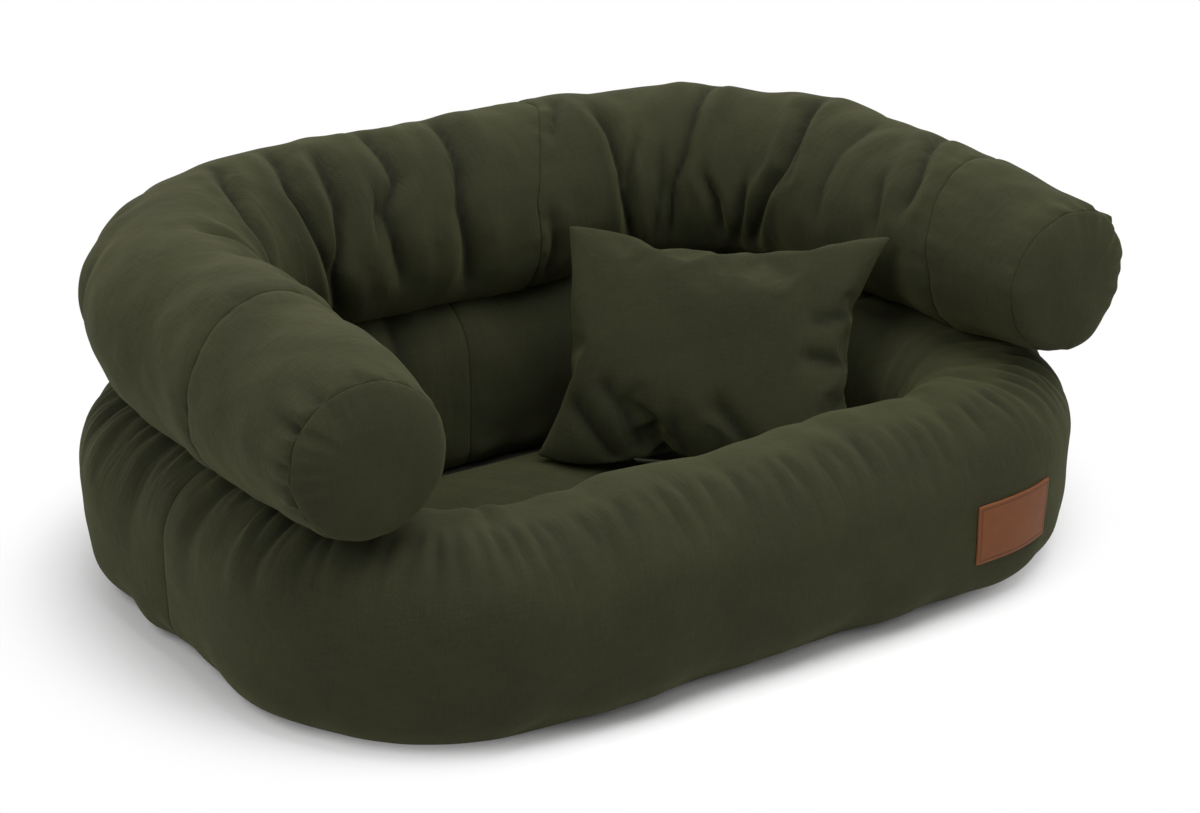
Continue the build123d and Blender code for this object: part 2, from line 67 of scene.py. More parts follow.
def angle(name, description, default):
    """An angle that the user can change, given in degrees"""
    return bpy.props.FloatProperty(
        name=name, description=description, default=math.radians(default), unit="ROTATION"
    )


def share(name, description, default):
    """A plain number that the user can change"""
    return bpy.props.FloatProperty(name=name, description=description, default=default)


def colour(name, description, default):
    """A colour that the user can change, as sRGB hex"""
    return bpy.props.StringProperty(name=name, description=description, default=default)


class DogBedWallSizes(bpy.types.PropertyGroup):
    """Sizes of the stuffed wall round the bed"""
    width: length("Width", "Base width over the side walls", 1.0)
    depth: length("Depth", "Base depth over the front and back walls", 0.809)
    front_radius: length("Front radius", "Radius of the front corners", 0.242)
    back_radius: length("Back radius", "Radius of the back corners", 0.317)
    front_thickness: length("Front thickness", "Front wall from outside to inside", 0.168)
    side_thickness: length("Side thickness", "Side walls from outside to inside", 0.190)
    back_thickness: length("Back thickness", "Back wall from outside to inside", 0.212)
    front_height: length("Front height", "Top of the front wall", 0.212)
    seam_height: length("Seam height", "Top of the wall at the side seams", 0.2075)
    back_height: length("Back height", "Top of the wall under the back roll", 0.200)
    seam_y: length("Seam place", "Side seams, along the depth", -0.035)
    seam_draw: length("Seam draw", "How far a seam pulls the cloth in", 0.0028)
    pleat_depth: length("Pleat depth", "Depth of the gathered folds by the seams", 0.0014)


class DogBedRollSizes(bpy.types.PropertyGroup):
    """Sizes of the stuffed roll that makes the back and the arms"""
    arm_x: length("Arm place", "Middle of the arms, across the bed", 0.418)
    back_y: length("Back place", "Middle of the back roll, along the depth", 0.282)
    cap_y: length("Cap place", "Front ends of the arms, along the depth", -0.311)
    corner_radius: length("Corner radius", "Bend of the roll's middle line", 0.248)
    splay: angle("Splay", "How far the arms open to the front", 1.87)
    cap_radius: length("Cap radius", "Round end of an arm", 0.082)
    seam_draw: length("Seam draw", "How far a seam pulls the cloth in", 0.0026)
    crease_depth: share("Crease depth", "Scale of the roll's creases", 1.2)
    pleat_depth: length("Pleat depth", "Depth of the gathered folds by the seams", 0.0012)
    dome: length("Cap dome", "How far the round ends stand out", 0.020)


class DogBedCushionSizes(bpy.types.PropertyGroup):
    """Sizes of the seat cushion and the throw pillow"""
    seat_front_radius: length("Seat front radius", "Front corners of the seat cushion", 0.070)
    seat_back_radius: length("Seat back radius", "Back corners of the seat cushion", 0.118)
    seat_crown: length("Seat crown", "Rise of the seat's middle over its edge", 0.012)
    pillow_cut_width: length("Pillow cut width", "Width of the flat pillow cover", 0.404)
    pillow_cut_height: length("Pillow cut height", "Height of the flat pillow cover", 0.294)
    pillow_width: length("Pillow width", "Width of the stuffed pillow", 0.376)
    pillow_height: length("Pillow height", "Height of the stuffed pillow", 0.266)
    pillow_fullness: length("Pillow fullness", "Half the stuffed pillow's thickness", 0.046)
    pillow_sag: length("Pillow sag", "How far the lower edge's middle draws in", 0.009)
    pillow_x: length("Pillow place, x", "Middle of the pillow, across the bed", 0.168)
    pillow_y: length("Pillow place, y", "Middle of the pillow, along the depth", -0.031)
    pillow_z: length("Pillow place, z", "Middle of the pillow, above the floor", 0.187)
    pillow_turn: angle("Pillow turn", "Turn of the pillow about the upright", -62.2)
    pillow_lean: angle("Pillow lean", "How far the pillow leans back", 26.0)
    pillow_tilt: angle("Pillow tilt", "Turn of the pillow in its own plane", 6.5)


class DogBedLabelSizes(bpy.types.PropertyGroup):
    """Sizes and place of the leather label"""
    centre_x: length("Place, x", "Middle of the label, across the bed", 0.289)
    centre_z: length("Place, z", "Middle of the label, above the floor", 0.090)
    width: length("Width", "Label width", 0.112)
    height: length("Height", "Label height", 0.066)
    thickness: length("Thickness", "Leather thickness", 0.0017)
    corner_radius: length("Corner radius", "Round of the label's corners", 0.0025)
    border_inset: length("Border inset", "Pressed border line, in from the edge", 0.0042)
    border_depth: length("Border depth", "Depth of the pressed border line", 0.0006)


class DogBedZipSizes(bpy.types.PropertyGroup):
    """Sizes of the coil zips"""
    pillow_length: length("Pillow zip", "Length of the pillow's zip", 0.150)
    tooth_pitch: length("Tooth pitch", "Distance between the coil's turns", 0.0021)
    coil_width: length("Coil width", "Width of the closed coil", 0.005)
    coil_height: length("Coil height", "Height of the closed coil", 0.0024)
    tape_height: length("Tape height", "Tape that stands out of the seam", 0.0022)
    tape_thickness: length("Tape thickness", "Thickness of the woven tape", 0.0008)


class DogBedFinish(bpy.types.PropertyGroup):
    """Colours of the bed's finishes"""
    canvas_dark: colour("Canvas, thread sides", "Darker olive of the dyed canvas", "#252719")
    canvas_light: colour("Canvas, thread crests", "Lighter olive of the dyed canvas", "#3B3C24")
    # Painted shade: the colour painted into the bottoms of creases, standing in for their shade
    canvas_crease_shade: colour("Canvas, creases", "Canvas at the bottom of a crease", "#0D0E08")
    base: colour("Base cloth", "Coated cloth under the bed", "#1E1E1A")
    leather: colour("Leather", "Tan leather of the label", "#6A3D21")
    leather_dark: colour("Leather, pressed", "Darker line pressed into the label", "#4A2A17")
    coil: colour("Zip coil", "Nylon coil and tape", "#26271A")
    enamel: colour("Zip enamel", "Enamel on the sliders and pulls", "#1F2017")


class DogBedStuffing(bpy.types.PropertyGroup):
    """How the covers are blown up"""
    pressure: share("Pressure", "Air pressure that stands in for the stuffing", 4.0)
    frames: bpy.props.IntProperty(name="Frames", description="Steps of the cloth", default=20)
    roll_move: length("Roll move", "Furthest that a roll's cloth may move", 0.013)
    wall_move: length("Wall move", "Furthest that a wall's cloth may move", 0.008)
    seat_move: length("Seat move", "Furthest that the seat's cloth may move", 0.006)


# Materials

def linear(hex_colour):
    """Linear RGBA of an sRGB hex colour"""
    parts = [int(hex_colour[i:i + 2], 16) / 255 for i in (1, 3, 5)]
    return [c / 12.92 if c <= 0.04045 else ((c + 0.055) / 1.055) ** 2.4 for c in parts] + [1.0]


def put(tree, kind, inputs=None, **settings):
    """Adds a node; an input is a value or another node's output"""
    node = tree.nodes.new(kind)
    for name, value in settings.items():
        setattr(node, name, value)
    for key, value in (inputs or {}).items():
        if isinstance(value, bpy.types.NodeSocket):
            tree.links.new(value, node.inputs[key])
        else:
            node.inputs[key].default_value = value
    return node


def blank_material(name, numbers):
    """A material with one Principled BSDF; the finish's own numbers sit on its sockets"""
    material = bpy.data.materials.new(name)
    material.use_nodes = True
    tree = material.node_tree
    tree.nodes.clear()
    skin = put(tree, "ShaderNodeBsdfPrincipled", numbers)
    put(tree, "ShaderNodeOutputMaterial", {"Surface": skin.outputs[0]})
    return material, tree, skin


def cotton_canvas(finish):
    """Cotton canvas, plain woven, piece dyed and washed: a matt olive with a dry thread grain"""
    material, tree, skin = blank_material("Cotton_canvas_plain_woven_dyed", {
        "Roughness": 0.93, "Specular IOR Level": 0.22, "Diffuse Roughness": 0.6,
        "Sheen Weight": 0.13, "Sheen Roughness": 0.42, "Sheen Tint": linear("#A8A464")})
    place = put(tree, "ShaderNodeUVMap", uv_map="cloth").outputs[0]
    axes = put(tree, "ShaderNodeSeparateXYZ", {0: place})
    # Real threads lie about 0.8 mm apart. They are drawn 1.1 mm apart, coarser than real, so that
    # the weave shows in a render; one wave of 2.2 mm holds two of them
    thread_turns = 2 * math.pi / (2.2 * millimetre)
    waves = []
    for direction in axes.outputs[:2]:
        turns = put(tree, "ShaderNodeMath", {0: direction, 1: thread_turns}, operation="MULTIPLY")
        wave = put(tree, "ShaderNodeMath", {0: turns.outputs[0]}, operation="SINE")
        waves.append(wave.outputs[0])
    weave = put(tree, "ShaderNodeMath", {0: waves[0], 1: waves[1]}, operation="MULTIPLY").outputs[0]
    # Slubs: each thread is thicker and paler here and there, along its own direction
    slub_length = 26 * millimetre
    slub_width = 2.0 * millimetre
    slubs = []
    for scale in ((1 / slub_length, 1 / slub_width, 1), (1 / slub_width, 1 / slub_length, 1)):
        turned = put(tree, "ShaderNodeMapping", {0: place, "Scale": scale})
        slubs.append(put(tree, "ShaderNodeTexNoise", {
            "Vector": turned.outputs[0], "Scale": 1.0, "Detail": 3.0, "Roughness": 0.6}).outputs[0])
    threads = put(tree, "ShaderNodeMath", {0: slubs[0], 1: slubs[1]}, operation="ADD").outputs[0]
    grain = put(tree, "ShaderNodeTexNoise", {
        "Vector": place, "Scale": 1 / (1.6 * millimetre), "Detail": 2.0}).outputs[0]
    # Wash marks: soft patches a hand wide, where the dye has worn
    wash = put(tree, "ShaderNodeTexNoise", {
        "Vector": place, "Scale": 1 / (95 * millimetre), "Detail": 4.0,
        "Roughness": 0.55}).outputs[0]
    tone = 0.0
    for part, weight in ((threads, 0.42), (wash, 0.5), (weave, 0.16), (grain, 0.45)):
        tone = put(tree, "ShaderNodeMath", {0: part, 1: weight, 2: tone},
                   operation="MULTIPLY_ADD").outputs[0]
    spread = put(tree, "ShaderNodeMapRange", {0: tone, 1: 0.55, 2: 1.25, 3: 0.0, 4: 1.0}).outputs[0]
    dyed = put(tree, "ShaderNodeMix", {
        0: spread, 6: linear(finish.canvas_dark), 7: linear(finish.canvas_light)}, data_type="RGBA")
    # Painted shade: the bottoms of creases are painted darker, standing in for the shade that falls
    # deep in them
    crease_shade = put(tree, "ShaderNodeAttribute", attribute_name="crease_shade").outputs["Fac"]
    shade = put(tree, "ShaderNodeMix", {
        0: crease_shade, 6: dyed.outputs[2], 7: linear(finish.canvas_crease_shade)}, data_type="RGBA")
    tree.links.new(shade.outputs[2], skin.inputs["Base Color"])
    # Rucks: the small soft crumples that a washed cotton keeps
    rucks = put(tree, "ShaderNodeTexNoise", {
        "Vector": place, "Scale": 1 / (30 * millimetre), "Detail": 3.0, "Roughness": 0.5,
        "Distortion": 0.6}).outputs[0]
    # Folds: fine upright folds where the cloth is marked as rucked, by seams and in creases
    folded = put(tree, "ShaderNodeMapping", {
        0: place, "Scale": (1 / (17 * millimetre), 1 / (75 * millimetre), 1)})
    folds = put(tree, "ShaderNodeTexNoise", {
        "Vector": folded.outputs[0], "Scale": 1.0, "Detail": 3.0, "Roughness": 0.55,
        "Distortion": 0.8}).outputs[0]
    marked = put(tree, "ShaderNodeAttribute", attribute_name="rucked").outputs["Fac"]
    folds = put(tree, "ShaderNodeMath", {0: folds, 1: marked}, operation="MULTIPLY").outputs[0]
    crumpled = put(tree, "ShaderNodeMath", {0: folds, 1: 3.0, 2: rucks}, operation="MULTIPLY_ADD")
    soft = put(tree, "ShaderNodeBump", {
        "Strength": 0.5, "Distance": 3.2 * millimetre, "Height": crumpled.outputs[0]})
    raised = threads
    for part, weight in ((weave, 0.5), (grain, 0.7)):
        raised = put(tree, "ShaderNodeMath", {0: part, 1: weight, 2: raised},
                     operation="MULTIPLY_ADD").outputs[0]
    fine = put(tree, "ShaderNodeBump", {
        "Strength": 0.55, "Distance": 0.55 * millimetre, "Height": raised,
        "Normal": soft.outputs[0]})
    tree.links.new(fine.outputs[0], skin.inputs["Normal"])
    return material


def coated_base_cloth(finish):
    """Polyester base cloth, coated: a dull near-black with a faint square weave"""
    material, tree, skin = blank_material("Polyester_base_cloth_coated", {
        "Roughness": 0.85, "Specular IOR Level": 0.12})
    place = put(tree, "ShaderNodeTexCoord").outputs["Object"]
    # Real threads lie about 0.5 mm apart; the squares are drawn at 2.4 mm so that they show
    weave = put(tree, "ShaderNodeTexChecker", {
        0: place, "Scale": 1 / (2.4 * millimetre)}).outputs[1]
    dust = put(tree, "ShaderNodeTexNoise", {
        "Vector": place, "Scale": 1 / (60 * millimetre), "Detail": 5.0}).outputs[0]
    shade = put(tree, "ShaderNodeMix", {
        0: dust, 6: linear(finish.base), 7: linear("#34332C")}, data_type="RGBA")
    tree.links.new(shade.outputs[2], skin.inputs["Base Color"])
    bump = put(tree, "ShaderNodeBump", {
        "Strength": 0.4, "Distance": 0.3 * millimetre, "Height": weave})
    tree.links.new(bump.outputs[0], skin.inputs["Normal"])
    return material


def tanned_leather(finish):
    """Cowhide, vegetable tanned and pressed: warm tan with a fine pebbled grain"""
    material, tree, skin = blank_material("Cowhide_vegetable_tanned_pressed", {
        "Roughness": 0.6, "Specular IOR Level": 0.2})
    place = put(tree, "ShaderNodeUVMap", uv_map="cloth").outputs[0]
    pores = put(tree, "ShaderNodeTexVoronoi", {"Vector": place, "Scale": 1 / (1.5 * millimetre)})
    mottle = put(tree, "ShaderNodeTexNoise", {
        "Vector": place, "Scale": 1 / (14 * millimetre), "Detail": 5.0,
        "Roughness": 0.6}).outputs[0]
    tan = put(tree, "ShaderNodeMix", {
        0: mottle, 6: linear(finish.leather), 7: linear("#7D4B2A")}, data_type="RGBA")
    pressed = put(tree, "ShaderNodeAttribute", attribute_name="pressed").outputs["Fac"]
    shade = put(tree, "ShaderNodeMix", {
        0: pressed, 6: tan.outputs[2], 7: linear(finish.leather_dark)}, data_type="RGBA")
    tree.links.new(shade.outputs[2], skin.inputs["Base Color"])
    bump = put(tree, "ShaderNodeBump", {
        "Strength": 0.3, "Distance": 0.25 * millimetre, "Height": pores.outputs[0]})
    tree.links.new(bump.outputs[0], skin.inputs["Normal"])
    return material


def nylon_coil(finish):
    """Nylon zip coil, moulded monofilament on woven tape: dark, slightly glossy ridges"""
    material, tree, skin = blank_material("Nylon_zip_coil_moulded", {
        "Roughness": 0.6, "Specular IOR Level": 0.22})
    place = put(tree, "ShaderNodeTexCoord").outputs["Object"]
    speck = put(tree, "ShaderNodeTexNoise", {
        "Vector": place, "Scale": 1 / (1.2 * millimetre), "Detail": 3.0}).outputs[0]
    shade = put(tree, "ShaderNodeMix", {
        0: speck, 6: linear(finish.coil), 7: linear("#3A3B29")}, data_type="RGBA")
    tree.links.new(shade.outputs[2], skin.inputs["Base Color"])
    bump = put(tree, "ShaderNodeBump", {
        "Strength": 0.3, "Distance": 0.2 * millimetre, "Height": speck})
    tree.links.new(bump.outputs[0], skin.inputs["Normal"])
    return material


def enamelled_zinc(finish):
    """Zinc, die cast and enamelled: dark paint with a slight orange peel and rubbed patches"""
    material, tree, skin = blank_material("Zinc_die_cast_enamelled", {
        "Roughness": 0.5, "Specular IOR Level": 0.3})
    place = put(tree, "ShaderNodeTexCoord").outputs["Object"]
    peel = put(tree, "ShaderNodeTexNoise", {
        "Vector": place, "Scale": 1 / (0.9 * millimetre), "Detail": 2.0}).outputs[0]
    rub = put(tree, "ShaderNodeTexNoise", {
        "Vector": place, "Scale": 1 / (4 * millimetre), "Detail": 5.0}).outputs[0]
    shade = put(tree, "ShaderNodeMix", {
        0: rub, 6: linear(finish.enamel), 7: linear("#4C4B3C")}, data_type="RGBA")
    tree.links.new(shade.outputs[2], skin.inputs["Base Color"])
    bump = put(tree, "ShaderNodeBump", {
        "Strength": 0.2, "Distance": 0.1 * millimetre, "Height": peel})
    tree.links.new(bump.outputs[0], skin.inputs["Normal"])
    return material


made_materials = {}


def finished(kind):
    """The material made by one of the functions above, made once"""
    if kind not in made_materials:
        made_materials[kind] = kind(bpy.context.scene.dog_bed_finish)
    return made_materials[kind]


# Shapes

def trace(start, heading, runs, ease=0.0, bend_back=0.0, step=0.002):
    """Distances, points and headings along straight and round runs.
    Ease takes a share out of each turn, and bend_back turns the whole line the other way."""
    points = [np.array(start, float)]
    headings = [heading]
    distances = [0.0]
    for run, turn in runs:
        steps = max(1, round(run / step))
        stride = run / steps
        turning = (turn * (1 - ease) - bend_back * run) / steps
        for _ in range(steps):
            middle = headings[-1] + turning / 2
            points.append(points[-1] + stride * np.array([math.cos(middle), math.sin(middle)]))
            headings.append(headings[-1] + turning)
            distances.append(distances[-1] + stride)
    return np.array(distances), np.array(points), np.array(headings)


def stand_on(route, distances):
    """Points on a route and the directions into the bed there"""
    along, points, headings = route
    x = np.interp(distances, along, points[:, 0])
    y = np.interp(distances, along, points[:, 1])
    heading = np.interp(distances, along, headings)
    return x, y, -np.sin(heading), np.cos(heading)


def ripples(u, v, seed, wavelength, height):
    """Soft uneven waves over a cloth, alike each time for the same seed"""
    random = np.random.default_rng(seed)
    total = np.zeros(np.broadcast(u, v).shape)
    count = 7
    for _ in range(count):
        angle = random.uniform(0, 2 * math.pi)
        turns = 2 * math.pi / (wavelength * random.uniform(0.75, 1.5))
        start = random.uniform(0, 2 * math.pi)
        total = total + np.sin(turns * (u * math.cos(angle) + v * math.sin(angle)) + start)
    return total * height / math.sqrt(count)


def gathers(around, seed, count, height):
    """Uneven gathers round a seam; around is in turns"""
    random = np.random.default_rng(seed)
    total = np.zeros(np.shape(around))
    for number in (count, round(count * 1.37), round(count * 0.61)):
        start = random.uniform(0, 2 * math.pi)
        swing = np.sin(2 * math.pi * around * random.integers(2, 5) + start)
        total = total + np.cos(2 * math.pi * number * around + start + swing)
    return total * height / 2


# Hidden rings that close a stuffed length of cloth, as shares of its end's size
turned_in = (0.5, 0.955)


def with_ends(points, cloth=None):
    """Adds hidden rings that turn the cloth in at both ends, so that smoothing keeps the seams"""
    first, last = points[0], points[-1]
    middles = first.mean(0), last.mean(0)
    start = [middles[0] + (first - middles[0]) * part for part in turned_in]
    end = [middles[1] + (last - middles[1]) * part for part in turned_in[::-1]]
    closed = np.concatenate([np.array(start), points, np.array(end)])
    if cloth is None:
        return closed
    many = len(turned_in)
    return closed, np.concatenate([cloth[:1]] * many + [cloth] + [cloth[-1:]] * many)


def ends_padded(grid):
    """Adds rows of nothing to marks on a cloth, for the hidden rings at its ends"""
    many = len(turned_in)
    return np.pad(grid, ((many, many), (0, 0)))


def cut_corners(points):
    """Corners of the closed mesh that the cut cloth would make, in the order of cloth_mesh"""
    cut = with_ends(points)
    middles = [cut[row].mean(0)[None] for row in (0, -1)]
    return np.concatenate([cut.reshape(-1, 3)] + middles)


def add_object(name, data):
    """A new object in the scene, at the origin"""
    item = bpy.data.objects.new(name, data)
    bpy.context.scene.collection.objects.link(item)
    return item


def outward(mesh):
    """Turns all faces of a closed mesh out of it and shades it smooth"""
    shape = bmesh.new()
    shape.from_mesh(mesh)
    bmesh.ops.recalc_face_normals(shape, faces=shape.faces)
    if shape.calc_volume(signed=True) < 0:
        bmesh.ops.reverse_faces(shape, faces=shape.faces)
    shape.to_mesh(mesh)
    shape.free()
    mesh.shade_smooth()


def mesh_piece(name, corners, faces, flat_places):
    """Object from corners, faces and each face corner's place on the flat cloth"""
    mesh = bpy.data.meshes.new(name)
    mesh.from_pydata(corners.tolist(), [], faces)
    layer = mesh.uv_layers.new(name="cloth")
    layer.data.foreach_set("uv", np.array(flat_places, np.float32).ravel())
    outward(mesh)
    return add_object(name, mesh)


def sheet_faces(numbers, flat, turned):
    """Faces of a grid of numbered points, with their flat places; turned ones face the other way"""
    faces = []
    flat_places = []
    for i in range(numbers.shape[0] - 1):
        for j in range(numbers.shape[1] - 1):
            ring = [(i, j), (i + 1, j), (i + 1, j + 1), (i, j + 1)]
            if turned:
                ring.reverse()
            faces.append([int(numbers[spot]) for spot in ring])
            flat_places += [flat[spot] for spot in ring]
    return faces, flat_places


def cloth_mesh(name, points, cloth):
    """Closed mesh from rows of points that run round a section; cloth has their flat places"""
    rows, around = points.shape[:2]
    corners = [points.reshape(-1, 3)]
    faces = []
    flat_places = []
    for i in range(rows - 1):
        for j in range(around):
            k = (j + 1) % around
            faces.append((i * around + j, (i + 1) * around + j,
                          (i + 1) * around + k, i * around + k))
            flat_places += [cloth[i, j], cloth[i + 1, j], cloth[i + 1, j + 1], cloth[i, j + 1]]
    for row in (0, rows - 1):
        centre = rows * around + (1 if row else 0)
        corners.append(points[row].mean(0)[None])
        for j in range(around):
            k = (j + 1) % around
            faces.append((row * around + j, row * around + k, centre))
            flat_places += [cloth[row, j], cloth[row, j + 1],
                            (cloth[row, j] + cloth[row, j + 1]) / 2]
    return mesh_piece(name, np.concatenate(corners), faces, flat_places)


def corners_of(piece):
    """Vertices of a piece as rows of x, y and z"""
    places = np.zeros(len(piece.data.vertices) * 3)
    piece.data.vertices.foreach_get("co", places)
    return places.reshape(-1, 3)


def move_corners(piece, places):
    """Puts a piece's vertices at these places"""
    piece.data.vertices.foreach_set("co", places.astype(np.float32).ravel())
    piece.data.update()


def blow_up(piece, cut, held, furthest, pressure=None, stiffness=12.0, bending=1.5, frames=None):
    """Fills a cover as its stuffing does: cut is its cloth before it was sewn, and held is 1 where
    it is sewn down. The cut cloth is longer than the sewn shape, so the spare cloth buckles."""
    scene = bpy.context.scene
    stuffing = scene.dog_bed_stuffing
    before = corners_of(piece)
    piece.shape_key_add(name="sewn", from_mix=False)
    flat = piece.shape_key_add(name="cut", from_mix=False)
    flat.data.foreach_set("co", cut.astype(np.float32).ravel())
    flat.value = 0.0
    group = piece.vertex_groups.new(name="held")
    for index in np.nonzero(held > 0)[0]:
        group.add([int(index)], float(held[index]), "REPLACE")
    cloth = piece.modifiers.new("stuffing", "CLOTH")
    settings = cloth.settings
    settings.quality = 6
    settings.mass = 0.3
    settings.air_damping = 2.0
    settings.tension_stiffness = stiffness
    settings.compression_stiffness = stiffness
    settings.shear_stiffness = stiffness / 3
    settings.bending_stiffness = bending
    settings.tension_damping = 8.0
    settings.compression_damping = 8.0
    settings.use_pressure = True
    settings.uniform_pressure_force = stuffing.pressure if pressure is None else pressure
    settings.effector_weights.gravity = 0.0
    settings.vertex_group_mass = "held"
    settings.rest_shape_key = flat
    cloth.collision_settings.use_collision = False
    last = stuffing.frames if frames is None else frames
    cloth.point_cache.frame_start = 1
    cloth.point_cache.frame_end = last
    for number in range(1, last + 1):
        scene.frame_set(number)
    after = corners_of(piece.evaluated_get(bpy.context.evaluated_depsgraph_get()))
    piece.modifiers.remove(cloth)
    piece.vertex_groups.remove(group)
    piece.shape_key_clear()
    scene.frame_set(1)
    move = after - before
    size = np.linalg.norm(move, axis=1, keepdims=True)
    limit = furthest * np.tanh(size / furthest)
    move_corners(piece, before + move * limit / np.maximum(size, 1e-9))


def mark(piece, name, amount):
    """Marks each point of a piece with a number that its cloth reads"""
    marks = piece.data.attributes.new(name, "FLOAT", "POINT")
    marks.data.foreach_set("value", np.clip(amount, 0, 1).astype(np.float32))


def finish_cloth(piece, body, slot, kind, fill, *nodes):
    """Rounds a cover off, gives it its cloth and puts it on its body in place of plain solids"""
    smooth = piece.modifiers.new("smooth", "SUBSURF")
    smooth.levels = 1
    smooth.render_levels = 1
    piece.data.materials.append(finished(kind))
    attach(piece, body)
    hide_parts(*nodes)


# Walls

# Round edges of the wall's section, how far its sides stand out, and the height of its underside
wall_outer_top_round = 0.076
wall_inner_top_round = 0.060
wall_outer_low_round = 0.048
wall_inner_low_round = 0.026
wall_bulge = 0.004
wall_floor = 0.002
wall_points_around = 92
wall_row_spacing = 0.0058
# The cloth keeps to the floor up to this height
wall_resting_height = 0.012
# The cut cloth is bent this share less than the wall, and stands this far off it
wall_cut_ease = 0.16
wall_cut_off = 0.0022


def wall_runs(sizes, name):
    """Start, heading and runs of the outer face of one stretch of wall, counter-clockwise"""
    half_x = sizes.width / 2
    half_y = sizes.depth / 2
    front_side = sizes.seam_y + half_y - sizes.front_radius
    back_side = half_y - sizes.back_radius - sizes.seam_y
    front_turn = (sizes.front_radius * quarter_turn, quarter_turn)
    back_turn = (sizes.back_radius * quarter_turn, quarter_turn)
    if name == "front":
        across = (sizes.width - 2 * sizes.front_radius, 0)
        return ((-half_x, sizes.seam_y), -quarter_turn,
                [(front_side, 0), front_turn, across, front_turn, (front_side, 0)])
    across = (half_x - sizes.back_radius, 0)
    if name == "right":
        return (half_x, sizes.seam_y), quarter_turn, [(back_side, 0), back_turn, across]
    return (0, half_y), 2 * quarter_turn, [across, back_turn, (back_side, 0)]


def wall_thickness_at(sizes, name, distances, run_list):
    """Thickness of the wall along a stretch"""
    ends = np.cumsum([0] + [run for run, _ in run_list])
    side, front, back = sizes.side_thickness, sizes.front_thickness, sizes.back_thickness
    if name == "front":
        return np.interp(distances, ends, [side, side, front, front, side, side])
    if name == "right":
        return np.interp(distances, ends, [side, side, back, back])
    return np.interp(distances, ends, [back, back, side, side])


def wall_height_at(sizes, roll, y):
    """Top of the wall, which falls towards the back"""
    front_y = sizes.front_radius - sizes.depth / 2
    return np.interp(y, [front_y, sizes.seam_y, roll.back_y],
                     [sizes.front_height, sizes.seam_height, sizes.back_height])


def wall_outline(thickness, top):
    """Section of the wall, evenly spaced from the middle of its underside out, up and over"""
    near, far, low, high = wall_bulge, thickness - wall_bulge, wall_floor, top
    turns = np.linspace(0, quarter_turn, 14)
    corners = [
        (near + wall_outer_low_round, low + wall_outer_low_round,
         wall_outer_low_round, -quarter_turn),
        (near + wall_outer_top_round, high - wall_outer_top_round,
         wall_outer_top_round, -math.pi),
        (far - wall_inner_top_round, high - wall_inner_top_round,
         wall_inner_top_round, quarter_turn),
        (far - wall_inner_low_round, low + wall_inner_low_round,
         wall_inner_low_round, 0.0),
    ]
    points = [((near + far) / 2, low)]
    for x, z, radius, start in corners:
        for turn in turns:
            angle = start - turn
            points.append((x + radius * math.cos(angle), z + radius * math.sin(angle)))
    points.append(points[0])
    points = np.array(points)
    steps = np.r_[0, np.cumsum(np.linalg.norm(np.diff(points, axis=0), axis=1))]
    even = np.linspace(0, steps[-1], wall_points_around + 1)
    x = np.interp(even, steps, points[:, 0])
    z = np.interp(even, steps, points[:, 1])
    swell = wall_bulge * np.clip(1 - ((z - (low + high) / 2) / (0.45 * (high - low))) ** 2, 0, 1)
    x = x + np.where(x < thickness / 2, -swell, swell)
    return x, z, steps[-1]


def section_normals(x, z):
    """Outward directions along a closed section that runs clockwise"""
    dx = np.roll(x, -1) - np.roll(x, 1)
    dz = np.roll(z, -1) - np.roll(z, 1)
    size = np.hypot(dx, dz)
    return -dz / size, dx / size


wall_creases = {
    # Distance along the wall, place round its section (shares), depth, width, how far it runs
    "front": [
        (0.060, 0.40, 0.0045, 0.011, 0.10), (0.118, 0.43, 0.0040, 0.010, 0.08),
        (0.178, 0.42, 0.0050, 0.012, 0.11), (0.245, 0.45, 0.0040, 0.012, 0.08),
        (0.330, 0.50, 0.0035, 0.014, 0.09), (0.455, 0.52, 0.0045, 0.013, 0.08),
        (0.590, 0.53, 0.0030, 0.016, 0.08), (0.735, 0.50, 0.0035, 0.018, 0.07),
        (0.880, 0.53, 0.0030, 0.016, 0.08), (1.010, 0.50, 0.0040, 0.015, 0.09),
        (1.130, 0.47, 0.0045, 0.013, 0.10), (1.225, 0.45, 0.0040, 0.012, 0.08),
        (1.310, 0.44, 0.0050, 0.012, 0.10), (1.400, 0.42, 0.0040, 0.011, 0.08),
        (1.470, 0.41, 0.0045, 0.011, 0.09),
    ],
    "right": [
        (0.055, 0.42, 0.0045, 0.012, 0.10), (0.125, 0.66, 0.0050, 0.014, 0.12),
        (0.205, 0.42, 0.0040, 0.012, 0.09), (0.260, 0.68, 0.0060, 0.014, 0.12),
        (0.330, 0.44, 0.0045, 0.013, 0.10), (0.385, 0.66, 0.0070, 0.014, 0.13),
        (0.470, 0.42, 0.0040, 0.013, 0.10), (0.520, 0.68, 0.0065, 0.014, 0.12),
        (0.610, 0.66, 0.0050, 0.013, 0.12), (0.700, 0.44, 0.0040, 0.014, 0.09),
    ],
    "left": [
        (0.085, 0.66, 0.0055, 0.014, 0.12), (0.160, 0.44, 0.0040, 0.013, 0.09),
        (0.215, 0.68, 0.0060, 0.013, 0.12), (0.300, 0.66, 0.0070, 0.014, 0.13),
        (0.350, 0.43, 0.0045, 0.012, 0.09), (0.405, 0.68, 0.0065, 0.014, 0.12),
        (0.480, 0.42, 0.0045, 0.012, 0.10), (0.525, 0.66, 0.0055, 0.013, 0.12),
        (0.600, 0.43, 0.0050, 0.012, 0.10), (0.660, 0.42, 0.0045, 0.011, 0.09),
        (0.735, 0.41, 0.0050, 0.011, 0.10),
    ],
}


